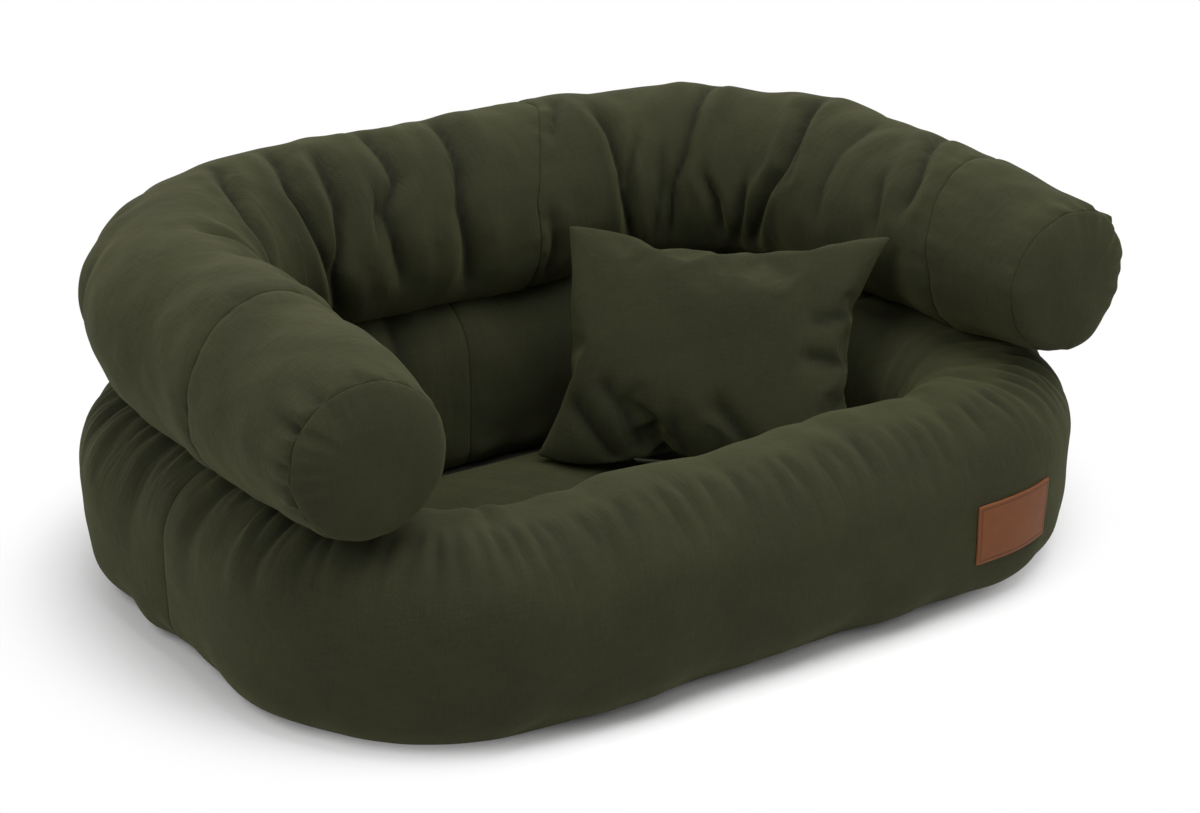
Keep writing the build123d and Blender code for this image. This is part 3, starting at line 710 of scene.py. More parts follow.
def spaced_rows(total, spacing, ends_at):
    """Distances along a stretch, closer together by the seams at its ends"""
    count = round(total / spacing)
    even = np.linspace(0, total, count + 1)
    close = np.array([0.0025, 0.0055, 0.0095])
    inner = even[(even > ends_at) & (even < total - ends_at)]
    return np.unique(np.r_[0, close, inner, total - close, total].round(6))


def wall_surface(name, dressed):
    """Points of one stretch of wall, as sewn or, if not dressed, as its cut cloth"""
    scene = bpy.context.scene
    sizes, roll = scene.dog_bed_wall, scene.dog_bed_roll
    start, heading, run_list = wall_runs(sizes, name)
    route = trace(start, heading, run_list)
    total = route[0][-1]
    rows = spaced_rows(total, wall_row_spacing, 0.014)
    x, y, in_x, in_y = stand_on(route, rows)
    thickness = wall_thickness_at(sizes, name, rows, run_list)
    middle_y = y + in_y * thickness / 2
    tops = wall_height_at(sizes, roll, middle_y)
    if not dressed:
        route = trace(start, heading, run_list, ease=wall_cut_ease)
        x, y, in_x, in_y = stand_on(route, rows)
    points = np.zeros((len(rows), wall_points_around, 3))
    cloth = np.zeros((len(rows), wall_points_around + 1, 2))
    crease_shade = np.zeros((len(rows), wall_points_around))
    shares = np.arange(wall_points_around) / wall_points_around
    for i, distance in enumerate(rows):
        sx, sz, around = wall_outline(thickness[i], tops[i])
        cloth[i, :, 0] = distance
        cloth[i, :, 1] = np.linspace(0, around, wall_points_around + 1)
        sx, sz = sx[:-1], sz[:-1]
        nx, nz = section_normals(sx, sz)
        if dressed:
            off, crease_shade[i] = wall_relief(name, distance, total, shares, around, sizes)
        else:
            off = np.full(wall_points_around, wall_cut_off)
        off = off * np.clip((sz - wall_floor) / wall_resting_height, 0, 1)
        sx = sx + nx * off
        sz = np.maximum(sz + nz * off, wall_floor)
        points[i, :, 0] = x[i] + in_x[i] * sx
        points[i, :, 1] = y[i] + in_y[i] * sx
        points[i, :, 2] = sz
    return points, cloth, crease_shade


# Pleats that hang from the wall's upper edge, where the roll is sewn on: places round the section
# in shares, and sizes in metres
pleat_count = 80
pleat_spacing = 0.025
deepest_pleat = 0.0095
pleat_full_from = 0.43
pleat_full_to = 0.44
pleat_top_fade = 0.022


def pleats(distance, shares, seed):
    """Short uneven pleats: how far they lift the cloth, and how much painted shade their bottoms
    get
    """
    random = np.random.default_rng(seed)
    total = np.zeros_like(shares)
    crease_shade = np.zeros_like(shares)
    for number in range(pleat_count):
        place = pleat_spacing * (number + random.uniform(-0.3, 0.3))
        deep = deepest_pleat * random.uniform(0.35, 1.0)
        long = random.uniform(0.035, 0.075)
        slant = random.uniform(-0.12, 0.12)
        gap = np.abs(distance - place - slant * (shares - 0.42)) / (pleat_spacing * 0.27)
        below = np.exp(-(np.maximum(pleat_full_from - shares, 0) / long) ** 2)
        above = np.exp(-(np.maximum(shares - pleat_full_to, 0) / pleat_top_fade) ** 2)
        reach = below * above
        total += deep * reach * (0.4 * np.exp(-(gap - 1.9) ** 2) - np.exp(-gap ** 1.3))
        # Painted shade: each pleat's bottom is marked to be painted darker
        bottom = np.exp(-(gap / 0.9) ** 1.5)
        crease_shade = np.maximum(crease_shade, 0.95 * deep / deepest_pleat * reach * bottom)
    return total, crease_shade


# How far along the wall its seams, settled cloth and seam gathers reach
seam_reach = 0.007
settled_reach = 0.012
gather_reach = 0.03
arm_reach = 0.36
wall_seeds = {"front": 11, "right": 12, "left": 13}
# Creases past this share of the section are on the wall's inner face, where the photo's are deep
inner_face = 0.6
inner_deepening = 1.9
# Waves of the cloth: number added to the seed, wavelength, height
wall_waves = [(40, 0.17, 0.0026), (60, 0.06, 0.0007)]
lower_edges = (0.13, 0.87)


def wall_relief(name, distance, total, shares, around, sizes):
    """How far the cloth stands off the plain section: seams, gathers, pleats, creases and lumps;
    and how much painted shade the bottoms of pleats and inner creases get
    """
    from_end = max(0.0, min(distance, total - distance))
    seed = wall_seeds[name]
    off = -sizes.seam_draw * np.exp(-(from_end / seam_reach) ** 1.3) * np.ones_like(shares)
    settled = 1 - math.exp(-from_end / settled_reach)
    near_seam = math.exp(-from_end / gather_reach)
    off += gathers(shares, seed, 19, sizes.pleat_depth) * near_seam * settled
    # The front's upper edge gathers most by its ends, which lie under the arms
    under_arm = 0.45 + 0.55 * math.exp(-(from_end / arm_reach) ** 6) if name == "front" else 1.0
    hung, crease_shade = pleats(distance, shares, seed + 20)
    off += hung * under_arm * settled
    crease_shade = crease_shade * under_arm * settled
    for place, height, depth, width, reach in wall_creases[name]:
        slanted = place + (shares - height) * 0.05
        gap = np.abs(distance - slanted)
        valley = np.exp(-(gap / width) ** 1.3)
        ridge = np.exp(-((gap - 2.2 * width) / width) ** 2)
        fade = np.exp(-((shares - height) / reach) ** 4)
        if height > inner_face:
            depth = inner_deepening * depth
            # Painted shade: the bottom of a deep inner crease is marked to be painted darker
            bottom = np.exp(-(gap / 0.006) ** 1.4)
            crease_shade = np.maximum(crease_shade, 0.7 * fade * bottom * min(1.0, depth / 0.006))
        off += fade * depth * (0.35 * ridge - valley)
    for added, wavelength, height in wall_waves:
        off += ripples(distance, shares * around, seed + added, wavelength, height) * settled
    # The lower edge waves a little where it meets the floor
    lower = sum(np.exp(-((shares - edge) / 0.05) ** 2) for edge in lower_edges)
    off += lower * ripples(distance, 0.0, seed + 80, 0.08, 0.0016) * settled
    return off, crease_shade


class DOGBED_OT_walls(bpy.types.Operator):
    """Make the stuffed walls: front with both corners, right and left round to the back"""
    bl_idname = "dog_bed.make_walls"
    bl_label = "Walls"

    def execute(self, context):
        furthest = context.scene.dog_bed_stuffing.wall_move
        shares = np.arange(wall_points_around) / wall_points_around
        outer_edge = np.exp(-((shares - 0.40) / 0.085) ** 4)
        upper = outer_edge + 0.6 * np.exp(-((shares - 0.70) / 0.10) ** 4)
        for name in ("front", "right", "left"):
            points, cloth, crease_shade = wall_surface(name, True)
            points, cloth = with_ends(points, cloth)
            piece = cloth_mesh(f"{name}_wall_canvas", points, cloth)
            cut = cut_corners(wall_surface(name, False)[0])
            held = np.zeros(points.shape[:2])
            held[points[..., 2] < 0.006] = 1.0
            hidden = len(turned_in) + 1
            held[:hidden] = 1.0
            held[-hidden:] = 1.0
            held[[hidden, -hidden - 1]] = 0.6
            blow_up(piece, cut, np.r_[held.ravel(), 1.0, 1.0], furthest)
            rucked = np.broadcast_to(upper * (0.45 if name == "front" else 0.9), points.shape[:2])
            mark(piece, "rucked", np.r_[rucked.ravel(), 0.0, 0.0])
            # Painted shade in the bottoms of pleats and creases, which the canvas reads
            mark(piece, "crease_shade", np.r_[ends_padded(crease_shade).ravel(), 0.0, 0.0])
            finish_cloth(piece, "bed", "canvas", cotton_canvas, 0.8,
                         f"{name}_wall_cover", f"{name}_wall_stuffing")
        return {"FINISHED"}


# Roll

roll_points_around = 96
roll_row_spacing = 0.0056
# Radius by which the flat cloth's height round the roll is measured
roll_cloth_radius = 0.1
# The roll's weight sinks it a little into the wall that it is sewn to, with a soft edge
roll_sinks = 0.0035
roll_floor_round = 0.004
# Radius and top of the roll along half its length, from an arm's end to the middle of the back
roll_swell_shares = [0, 0.06, 0.12, 0.26, 0.38, 0.5]
roll_swell_radii = [0.082, 0.091, 0.0965, 0.0965, 0.1075, 0.109]
roll_swell_tops = [0.3795, 0.3928, 0.4005, 0.399, 0.3965, 0.3965]
# The underside is flat at this share of the radius, or at the wall where that stands higher
roll_flat_share = 0.985

# Seams of the roll: angle round the section (0 is the inside, 90 the top) and distance from the
# right cap
roll_seams = {
    "right_cap": [(-90, 0.0), (270, 0.0)],
    "right_arm": [(-90, 0.128), (-10, 0.114), (34, 0.130), (94, 0.152), (180, 0.160), (270, 0.128)],
    "back": [(-90, 0.815), (14, 0.826), (50, 0.800), (84, 0.766), (150, 0.772), (270, 0.815)],
    "left_arm": [(-90, 1.616), (80, 1.612), (150, 1.620), (200, 1.620), (270, 1.616)],
    "left_cap": [(-90, 1.8094), (270, 1.8094)],
}
roll_panels = [
    ("right_arm", "right_cap", "right_arm"),
    ("right_back", "right_arm", "back"),
    ("left_back", "back", "left_arm"),
    ("left_arm", "left_arm", "left_cap"),
]

# Creases: (angle, distance) points along each, then depth and width
roll_creases = [
    ([(95, 1.180), (88, 1.188), (60, 1.235), (44, 1.272), (10, 1.300)], 0.012, 0.013),
    ([(100, 1.100), (84, 1.104), (48, 1.132), (20, 1.125), (-20, 1.100)], 0.014, 0.013),
    ([(78, 1.060), (66, 1.064), (36, 1.068), (-4, 1.092), (-40, 1.075)], 0.014, 0.012),
    ([(100, 0.980), (82, 0.984), (46, 0.990), (28, 1.016), (12, 1.012), (-20, 1.000)],
     0.014, 0.012),
    ([(96, 0.893), (78, 0.896), (48, 0.908), (22, 0.920), (-34, 0.908)], 0.015, 0.013),
    ([(70, 0.700), (52, 0.692), (12, 0.692), (-30, 0.664)], 0.014, 0.012),
    ([(40, 0.654), (18, 0.676), (2, 0.672)], 0.009, 0.009),
    ([(100, 0.548), (60, 0.556), (28, 0.568), (8, 0.588), (-30, 0.592)], 0.011, 0.012),
    ([(30, 0.610), (6, 0.614), (-24, 0.622)], 0.007, 0.009),
    ([(14, 0.530), (-6, 0.506), (-30, 0.496)], 0.011, 0.010),
    ([(6, 0.452), (-20, 0.460), (-40, 0.476)], 0.012, 0.010),
    ([(92, 0.406), (76, 0.400), (50, 0.380), (26, 0.376), (8, 0.398), (-14, 0.420), (-38, 0.444)],
     0.015, 0.011),
    ([(48, 0.360), (24, 0.350), (12, 0.368)], 0.008, 0.008),
    ([(82, 0.300), (40, 0.304), (0, 0.298)], 0.006, 0.014),
    ([(108, 0.232), (58, 0.180), (42, 0.170), (28, 0.172)], 0.010, 0.010),
    ([(44, 0.220), (26, 0.211), (10, 0.206)], 0.007, 0.010),
    ([(84, 0.744), (76, 0.750), (54, 0.778)], 0.008, 0.008),
    ([(4, 0.806), (-20, 0.799), (-38, 0.804)], 0.009, 0.008),
    ([(46, 1.022), (26, 1.030), (12, 1.034)], 0.008, 0.008),
    ([(70, 1.395), (40, 1.402), (-10, 1.396)], 0.013, 0.013),
    ([(66, 1.480), (30, 1.476), (-10, 1.484)], 0.011, 0.012),
    ([(60, 1.565), (20, 1.560), (-20, 1.566)], 0.008, 0.012),
    ([(200, 1.300), (160, 1.292), (120, 1.286)], 0.0045, 0.011),
    ([(204, 1.222), (170, 1.226), (130, 1.238)], 0.0050, 0.011),
    ([(206, 1.352), (176, 1.346), (140, 1.350)], 0.0045, 0.010),
    ([(206, 1.150), (170, 1.156), (132, 1.150)], 0.0050, 0.013),
    ([(206, 1.000), (160, 1.006), (124, 0.998)], 0.0060, 0.014),
    ([(206, 0.880), (160, 0.874), (126, 0.880)], 0.0060, 0.014),
    ([(206, 0.690), (160, 0.696), (128, 0.690)], 0.0055, 0.014),
    ([(206, 0.560), (160, 0.554), (126, 0.562)], 0.0060, 0.014),
    ([(206, 0.440), (160, 0.446), (124, 0.440)], 0.0050, 0.012),
    ([(206, 0.330), (160, 0.324), (124, 0.330)], 0.0050, 0.012),
]


def roll_route(roll, ease=0.0, bend_back=0.0):
    """Middle line of the roll, from the right arm's cap round the back to the left arm's cap"""
    bend = 0.010
    arm_start_y = roll.back_y - roll.corner_radius
    arm = (arm_start_y - roll.cap_y) / math.cos(roll.splay)
    spread = (arm_start_y - roll.cap_y) * math.tan(roll.splay)
    turn = (roll.corner_radius * quarter_turn - bend, quarter_turn)
    opening = (2 * bend, -roll.splay)
    back = (2 * (roll.arm_x - roll.corner_radius), 0)
    runs = [(arm - bend, 0), opening, turn, back, turn, opening, (arm - bend, 0)]
    start = (roll.arm_x + spread, roll.cap_y)
    return trace(start, quarter_turn + roll.splay, runs, ease, bend_back)


def seam_line(name, degrees):
    """Distance of a seam at each angle round the roll"""
    angles, places = zip(*roll_seams[name])
    return np.interp(degrees, angles, places)


roll_seeds = {"right_arm": 31, "right_back": 32, "left_back": 33, "left_arm": 34}
# The arms' end seams pucker on the outer side: middle and width of that stretch in degrees, how far
# from the seam the puckers reach, how high they stand, and the seed and count of their gathers
pucker_middle = 155
pucker_width = 50
pucker_reach = 0.020
pucker_height = 0.0085
pucker_seed = 57
pucker_count = 19
crease_fade = 14.0 / 3
# Waves of the cloth: seed, wavelength, height
roll_waves = [(51, 0.16, 0.0026), (52, 0.055, 0.0008)]


def puckered_side(degrees):
    """1 on the outer side of an arm, where its end seam puckers, fading to 0 round it"""
    return np.exp(-((degrees - pucker_middle) / pucker_width) ** 2)


def roll_relief(distances, degrees, panel_share, run, panel, roll):
    """How far the cloth stands off the plain roll: seams, gathers, creases and lumps; and how much
    painted shade the bottoms of creases and puckers get
    """
    from_start = panel_share * run
    from_end = (1 - panel_share) * run
    near = np.maximum(np.minimum(from_start, from_end), 0.0)
    off = -roll.seam_draw * np.exp(-(near / 0.006) ** 1.3)
    around = degrees / 360
    valleys = np.zeros_like(off)
    crease_shade = np.zeros_like(off)
    seam_gathers = gathers(around, roll_seeds[panel], 23, roll.pleat_depth)
    off = off + seam_gathers * np.exp(-near / 0.024) * (near > 0.001)
    if panel in ("right_arm", "left_arm"):
        from_cap = from_start if panel == "right_arm" else from_end
        puckered = puckered_side(degrees) * (from_cap > 0.001)
        puckered = puckered * np.exp(-np.maximum(from_cap, 0) / pucker_reach)
        pucker = gathers(around, pucker_seed, pucker_count, 1.0)
        off = off + pucker_height * pucker * puckered
        # Painted shade in the hollows of the puckers
        crease_shade = np.maximum(crease_shade, 0.95 * puckered * np.clip(-pucker, 0, 1))
    for line, depth, width in roll_creases:
        angles, places = zip(*sorted(line))
        fade = 1 / (1 + np.exp(-(degrees - angles[0]) / crease_fade))
        fade = fade / (1 + np.exp((degrees - angles[-1]) / crease_fade))
        gap = np.abs(distances - np.interp(degrees, angles, places))
        valley = np.exp(-(gap / (0.85 * width)) ** 1.05)
        ridge = np.exp(-((gap - 2.3 * width) / (1.1 * width)) ** 2)
        off = off + fade * depth * roll.crease_depth * (0.30 * ridge - 1.25 * valley)
        valleys = np.maximum(valleys, fade * valley * min(1.0, depth / 0.010))
        # Painted shade in the bottom of each crease
        bottom = np.exp(-(gap / 0.0058) ** 1.4)
        crease_shade = np.maximum(crease_shade, 0.85 * fade * bottom * min(1.0, depth / 0.012))
    for seed, wavelength, height in roll_waves:
        off = off + ripples(distances, around * 0.62, seed, wavelength, height)
    return off, valleys, crease_shade


def roll_surface(panel, first, last, dressed):
    """Points of one roll panel, as sewn or, if not dressed, as its cut cloth"""
    scene = bpy.context.scene
    roll, wall = scene.dog_bed_roll, scene.dog_bed_wall
    true_route = roll_route(roll)
    total = true_route[0][-1]
    degrees = -90 + 360 * np.arange(roll_points_around) / roll_points_around
    start = seam_line(first, degrees)
    end = seam_line(last, degrees)
    run = float(np.mean(end - start))
    rows = np.clip(spaced_rows(run, roll_row_spacing, 0.013) / run, 0, 1)
    distances = start[None, :] + (end - start)[None, :] * rows[:, None]
    angle = np.radians(degrees)[None, :]
    nearest = np.minimum(distances, total - distances) / total
    radius = np.interp(nearest, roll_swell_shares, roll_swell_radii)
    centre = np.interp(nearest, roll_swell_shares, roll_swell_tops) - radius
    x, y, in_x, in_y = stand_on(true_route, distances)
    floor = np.maximum(wall_height_at(wall, roll, y) - roll_sinks,
                       centre - radius * roll_flat_share)
    if dressed:
        shares = np.broadcast_to(rows[:, None], distances.shape)
        grid_degrees = np.broadcast_to(degrees[None, :], distances.shape)
        off, valleys, crease_shade = roll_relief(distances, grid_degrees, shares, run, panel, roll)
        size = radius + off
    else:
        valleys = crease_shade = None
        size = radius * 1.03
        x, y, in_x, in_y = stand_on(roll_route(roll, 0.28, 0.55), distances)
    across = size * np.cos(angle)
    up = centre + size * np.sin(angle)
    up = floor + roll_floor_round * np.logaddexp(0, (up - floor) / roll_floor_round)
    points = np.stack([x + in_x * across, y + in_y * across, up], -1)
    cloth = np.zeros((len(rows), roll_points_around + 1, 2))
    cloth[..., 0] = np.c_[distances, distances[:, :1]]
    cloth[..., 1] = np.linspace(0, 2 * math.pi * roll_cloth_radius, roll_points_around + 1)[None, :]
    return points, cloth, degrees, valleys, crease_shade


class DOGBED_OT_roll(bpy.types.Operator):
    """Make the stuffed roll in four panels, with creases on its inner side and painted shade in
    their bottoms
    """
    bl_idname = "dog_bed.make_roll"
    bl_label = "Roll"

    def execute(self, context):
        furthest = context.scene.dog_bed_stuffing.roll_move
        for panel, first, last in roll_panels:
            points, cloth, degrees, valleys, crease_shade = roll_surface(panel, first, last, True)
            points, cloth = with_ends(points, cloth)
            piece = cloth_mesh(f"roll_canvas_{panel}", points, cloth)
            cut = cut_corners(roll_surface(panel, first, last, False)[0])
            valleys = ends_padded(valleys)
            held = np.clip(1.35 * valleys, 0, 1)
            from_lowest = np.abs((degrees + 90 + 180) % 360 - 180)
            held[:, from_lowest < 40] = 1.0
            held[:, (from_lowest >= 40) & (from_lowest < 52)] = 0.4
            hidden = len(turned_in) + 1
            held[:hidden] = 1.0
            held[-hidden:] = 1.0
            held[[hidden, -hidden - 1]] = 0.5
            blow_up(piece, cut, np.r_[held.ravel(), 1.0, 1.0], furthest)
            inner = np.exp(-((degrees - 25) / 62) ** 4)[None, :]
            rucked = 0.12 + 0.75 * inner * np.clip(0.35 + valleys, 0, 1)
            mark(piece, "rucked", np.r_[rucked.ravel(), 0.0, 0.0])
            # Painted shade in the bottoms of creases and puckers, which the canvas reads
            mark(piece, "crease_shade", np.r_[ends_padded(crease_shade).ravel(), 0.0, 0.0])
            finish_cloth(piece, "bed", "canvas", cotton_canvas, 0.7,
                         f"roll_cover_{panel}", f"roll_stuffing_{panel}")
        return {"FINISHED"}


class DOGBED_OT_end_caps(bpy.types.Operator):
    """Make the round ends of the arms, gathered into their seam"""
    bl_idname = "dog_bed.make_end_caps"
    bl_label = "Arm ends"

    def execute(self, context):
        roll = context.scene.dog_bed_roll
        # Rings from the middle to the seam, as shares of the end's radius
        rings = np.r_[np.linspace(0.04, 0.86, 15), 0.90, 0.935, 0.965, 0.985, 1.0]
        height = roll.dome * (1 - rings ** 3.0) ** 0.62
        back_ring = 0.9
        back_depth = 0.002
        for panel, first, last, row in (("right_arm", "right_cap", "right_arm", 0),
                                        ("left_arm", "left_arm", "left_cap", -1)):
            points, _, degrees, _, _ = roll_surface(panel, first, last, True)
            rim = points[row]
            centre = rim.mean(0)
            inward = points[1 if row == 0 else -2].mean(0) - centre
            outward_way = -inward / np.linalg.norm(inward)
            ruffle = gathers(degrees / 360, pucker_seed, pucker_count, pucker_height)
            ruffle = ruffle * puckered_side(degrees)
            cos, sin = np.cos(np.radians(degrees)), np.sin(np.radians(degrees))
            front = np.zeros((len(rings), len(degrees), 3))
            for i, ring in enumerate(rings):
                lumps = ripples(cos * ring * 0.1, sin * ring * 0.1, 58, 0.09, 0.0014)
                gathered = ruffle * math.exp(-(1 - ring) / 0.14)
                rise = height[i] + (gathered + lumps) * (1 - ring ** 12)
                front[i] = centre + (rim - centre) * ring + outward_way * rise[:, None]
            back = centre + (rim - centre) * back_ring - outward_way * back_depth
            points = np.concatenate([front, back[None]])
            radii = np.r_[rings, back_ring][:, None] * roll.cap_radius
            angle = np.radians(np.r_[degrees, degrees[0]])[None, :]
            cloth = np.stack([radii * np.cos(angle), radii * np.sin(angle)], -1)
            piece = cloth_mesh(f"{panel}_end_canvas", points, cloth)
            mark(piece, "rucked", np.full(len(piece.data.vertices), 0.15))
            finish_cloth(piece, "bed", "canvas", cotton_canvas, 0.7, f"{panel}_end_cap")
        return {"FINISHED"}


# Seat cushion

def seat_boundary(low, high, front_radius, back_radius, count=168):
    """Even points round the seat cushion's outline, with each corner's own radius"""
    corners = [
        (high.x - front_radius, low.y + front_radius, front_radius, -quarter_turn),
        (high.x - back_radius, high.y - back_radius, back_radius, 0.0),
        (low.x + back_radius, high.y - back_radius, back_radius, quarter_turn),
        (low.x + front_radius, low.y + front_radius, front_radius, 2 * quarter_turn),
    ]
    points = []
    for x, y, radius, start in corners:
        for turn in start + np.linspace(0, quarter_turn, 24):
            points.append((x + radius * math.cos(turn), y + radius * math.sin(turn)))
    points.append(points[0])
    points = np.array(points)
    steps = np.r_[0, np.cumsum(np.linalg.norm(np.diff(points, axis=0), axis=1))]
    even = np.linspace(0, steps[-1], count + 1)[:-1]
    return np.c_[np.interp(even, steps, points[:, 0]), np.interp(even, steps, points[:, 1])]


def pillow_dent(places):
    """How far the seat gives way under the lower edge of the throw pillow that stands on it"""
    depth, width, end_fade = 0.010, 0.045, 0.02
    centre, axes = pillow_axes()
    sizes = bpy.context.scene.dog_bed_cushion
    lower_edge = centre[:2] - axes[:2, 1] * sizes.pillow_height / 2
    along = axes[:2, 0] / np.linalg.norm(axes[:2, 0])
    away = (places - lower_edge) @ np.array([-along[1], along[0]])
    run = np.abs((places - lower_edge) @ along)
    past_end = 1 + np.exp((run - sizes.pillow_width / 2) / end_fade)
    return depth * np.exp(-(away / width) ** 2) / past_end


# Stuffed full, the seat presses this much wider against the walls, but not at its zip
seat_pressed = 1.012
# How far the stuffed top stands over its plain solid's, in metres
seat_stands_over = 0.008
seat_cut_spare = 1.02


def seat_half(side, edge, middle, seam, top, crown):
    """Rows of points from the middle of one half of the seat out to its seam, and the hidden last
    row inside it; side is 1 for the top and -1 for the under side"""
    rings = np.r_[np.linspace(0.03, 0.90, 30), 0.93, 0.955, 0.975, 0.99, 1.0]
    shoulder = top - seam - side * crown * (side > 0)
    rise = shoulder * (1 - rings ** 14) ** 0.55 + (side > 0) * crown * (1 - rings ** 2)
    points = np.zeros((len(rings) + 1, len(edge), 3))
    tuck = gathers(np.arange(len(edge)) / len(edge), 73, 61, 0.0012)
    for i, ring in enumerate(rings):
        flat = middle + (edge - middle) * ring
        points[i, :, :2] = flat
        points[i, :, 2] = seam + rise[i]
        if side > 0:
            lumps = ripples(flat[:, 0], flat[:, 1], 71, 0.13, 0.0022)
            lumps += ripples(flat[:, 0], flat[:, 1], 72, 0.045, 0.0006)
            points[i, :, 2] += (lumps - pillow_dent(flat)) * (1 - ring ** 10)
            points[i, :, 2] += tuck * math.exp(-(1 - ring) / 0.07) * (ring < 1)
    points[-1, :, :2] = middle + (edge - middle) * 0.97
    points[-1, :, 2] = seam + side * 0.0008
    return points


class DOGBED_OT_seat(bpy.types.Operator):
    """Make the seat cushion: a stuffed top and its under side, sewn at the zip's height"""
    bl_idname = "dog_bed.make_seat"
    bl_label = "Seat cushion"

    def execute(self, context):
        scene = context.scene
        low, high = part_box("seat_cushion_top_cover")
        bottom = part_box("seat_cushion_bottom_cover")[0].z
        cushion = scene.dog_bed_cushion
        edge = seat_boundary(low, high, cushion.seat_front_radius, cushion.seat_back_radius)
        middle = edge.mean(0)
        pressed = np.c_[np.full(len(edge), seat_pressed),
                        np.where(edge[:, 1] < middle[1], seat_pressed, 1.0)]
        edge = middle + (edge - middle) * pressed
        top = high.z + seat_stands_over
        for half, side, height, nodes in (
                ("top", 1, top, ("seat_cushion_top_cover", "seat_cushion_stuffing")),
                ("under", -1, bottom, ("seat_cushion_bottom_cover",))):
            points = seat_half(side, edge, middle, low.z, height, cushion.seat_crown)
            cloth = np.concatenate([points[..., :2], points[:, :1, :2]], 1)
            piece = cloth_mesh(f"seat_cushion_{half}_canvas", points, cloth)
            mark(piece, "rucked", np.full(len(piece.data.vertices), 0.3))
            if half == "top":
                held = np.zeros(points.shape[:2])
                held[-3:] = 1.0
                cut = corners_of(piece)
                cut[:, :2] = middle + (cut[:, :2] - middle) * seat_cut_spare
                blow_up(piece, cut, np.r_[held.ravel(), 0.0, 1.0], scene.dog_bed_stuffing.seat_move,
                        pressure=1.0, frames=14)
            finish_cloth(piece, "seat_cushion", "canvas", cotton_canvas, 0.6, *nodes)
        return {"FINISHED"}


# Throw pillow

def pillow_axes():
    """Centre and axes of the throw pillow: along its width, up its height, out of its front"""
    sizes = bpy.context.scene.dog_bed_cushion
    turn, lean, tilt = sizes.pillow_turn, sizes.pillow_lean, sizes.pillow_tilt
    rotate_z = np.array([[math.cos(turn), -math.sin(turn), 0],
                         [math.sin(turn), math.cos(turn), 0], [0, 0, 1]])
    tip = quarter_turn - lean
    rotate_x = np.array([[1, 0, 0], [0, math.cos(tip), -math.sin(tip)],
                         [0, math.sin(tip), math.cos(tip)]])
    rotate_in = np.array([[math.cos(tilt), -math.sin(tilt), 0],
                          [math.sin(tilt), math.cos(tilt), 0], [0, 0, 1]])
    centre = np.array([sizes.pillow_x, sizes.pillow_y, sizes.pillow_z])
    return centre, rotate_z @ rotate_x @ rotate_in


class DOGBED_OT_pillow(bpy.types.Operator):
    """Make the throw pillow: two flat sheets sewn at the edge and blown up"""
    bl_idname = "dog_bed.make_pillow"
    bl_label = "Throw pillow"

    def execute(self, context):
        sizes = context.scene.dog_bed_cushion
        wide, tall = pillow_grid
        half_u, half_v = sizes.pillow_cut_width / 2, sizes.pillow_cut_height / 2
        grid_u, grid_v = np.meshgrid(np.linspace(-1, 1, wide), np.linspace(-1, 1, tall),
                                     indexing="ij")
        puff = (1 - grid_u ** 2) * (1 - grid_v ** 2)
        start_rise = 0.022 * np.sqrt(np.clip(puff, 0, 1))
        start_rise += 0.001 * ripples(grid_u * half_u, grid_v * half_v, 81, 0.06, 1.0) * puff
        inside = (np.abs(grid_u) < 1) & (np.abs(grid_v) < 1)
        numbers = np.arange(wide * tall).reshape(wide, tall)
        back_numbers = numbers.copy()
        back_numbers[inside] = wide * tall + np.arange(inside.sum())
        flat = np.stack([grid_u * half_u, grid_v * half_v, np.zeros_like(grid_u)], -1)
        raised = np.stack([0 * grid_u, 0 * grid_u, start_rise], -1)
        corners = np.concatenate([(flat + raised).reshape(-1, 3), (flat - raised)[inside]])
        cut = np.concatenate([flat.reshape(-1, 3), flat[inside]])
        faces, flat_places = sheet_faces(numbers, flat[..., :2], False)
        back_faces, back_places = sheet_faces(back_numbers, flat[..., :2], True)
        piece = mesh_piece("throw_pillow_canvas", corners, faces + back_faces,
                           flat_places + back_places)
        blow_up(piece, cut, np.zeros(len(corners)), 0.2, pressure=5.0, stiffness=16.0, bending=0.6,
                frames=34)
        shaped, crease_shade = fit_pillow(corners_of(piece))
        from_edge = 1 - np.maximum(np.abs(shaped[:, 0]) / (sizes.pillow_width / 2),
                                   np.abs(shaped[:, 1]) / (sizes.pillow_height / 2))
        mark(piece, "rucked", 0.15 + 0.6 * np.exp(-from_edge / 0.25))
        # Painted shade in the bottoms of the pillow's creases
        mark(piece, "crease_shade", crease_shade)
        centre, axes = pillow_axes()
        move_corners(piece, centre + shaped @ axes.T)
        finish_cloth(piece, "throw_pillow", "canvas", cotton_canvas, 0.65,
                     "throw_pillow_front_panel", "throw_pillow_back_panel", "throw_pillow_stuffing")
        return {"FINISHED"}


pillow_grid = (62, 46)
pillow_corners = {
    # Side along the width, side up the height: where that corner's point lies
    (-1, 1): (-0.188, 0.133),
    (1, 1): (0.203, 0.136),
    (-1, -1): (-0.198, -0.130),
    (1, -1): (0.187, -0.130),
}
pillow_creases = [
    # Points along the crease, depth, width
    ([(-0.142, -0.074), (-0.118, -0.100), (-0.098, -0.124)], 0.014, 0.009),
    ([(-0.102, -0.052), (-0.078, -0.078), (-0.064, -0.112)], 0.009, 0.010),
    ([(0.036, -0.066), (0.060, -0.090), (0.082, -0.116)], 0.012, 0.009),
    ([(-0.020, -0.085), (-0.012, -0.112)], 0.007, 0.009),
    ([(0.188, -0.002), (0.160, -0.006), (0.132, -0.005)], 0.012, 0.007),
    ([(0.188, 0.046), (0.160, 0.045), (0.136, 0.036)], 0.007, 0.009),
    ([(0.180, -0.048), (0.154, -0.058)], 0.008, 0.008),
]
# How far the upper edge's middle draws in, and how near the middle its points are taken
upper_sag = 0.022
middle_stretch = 0.02


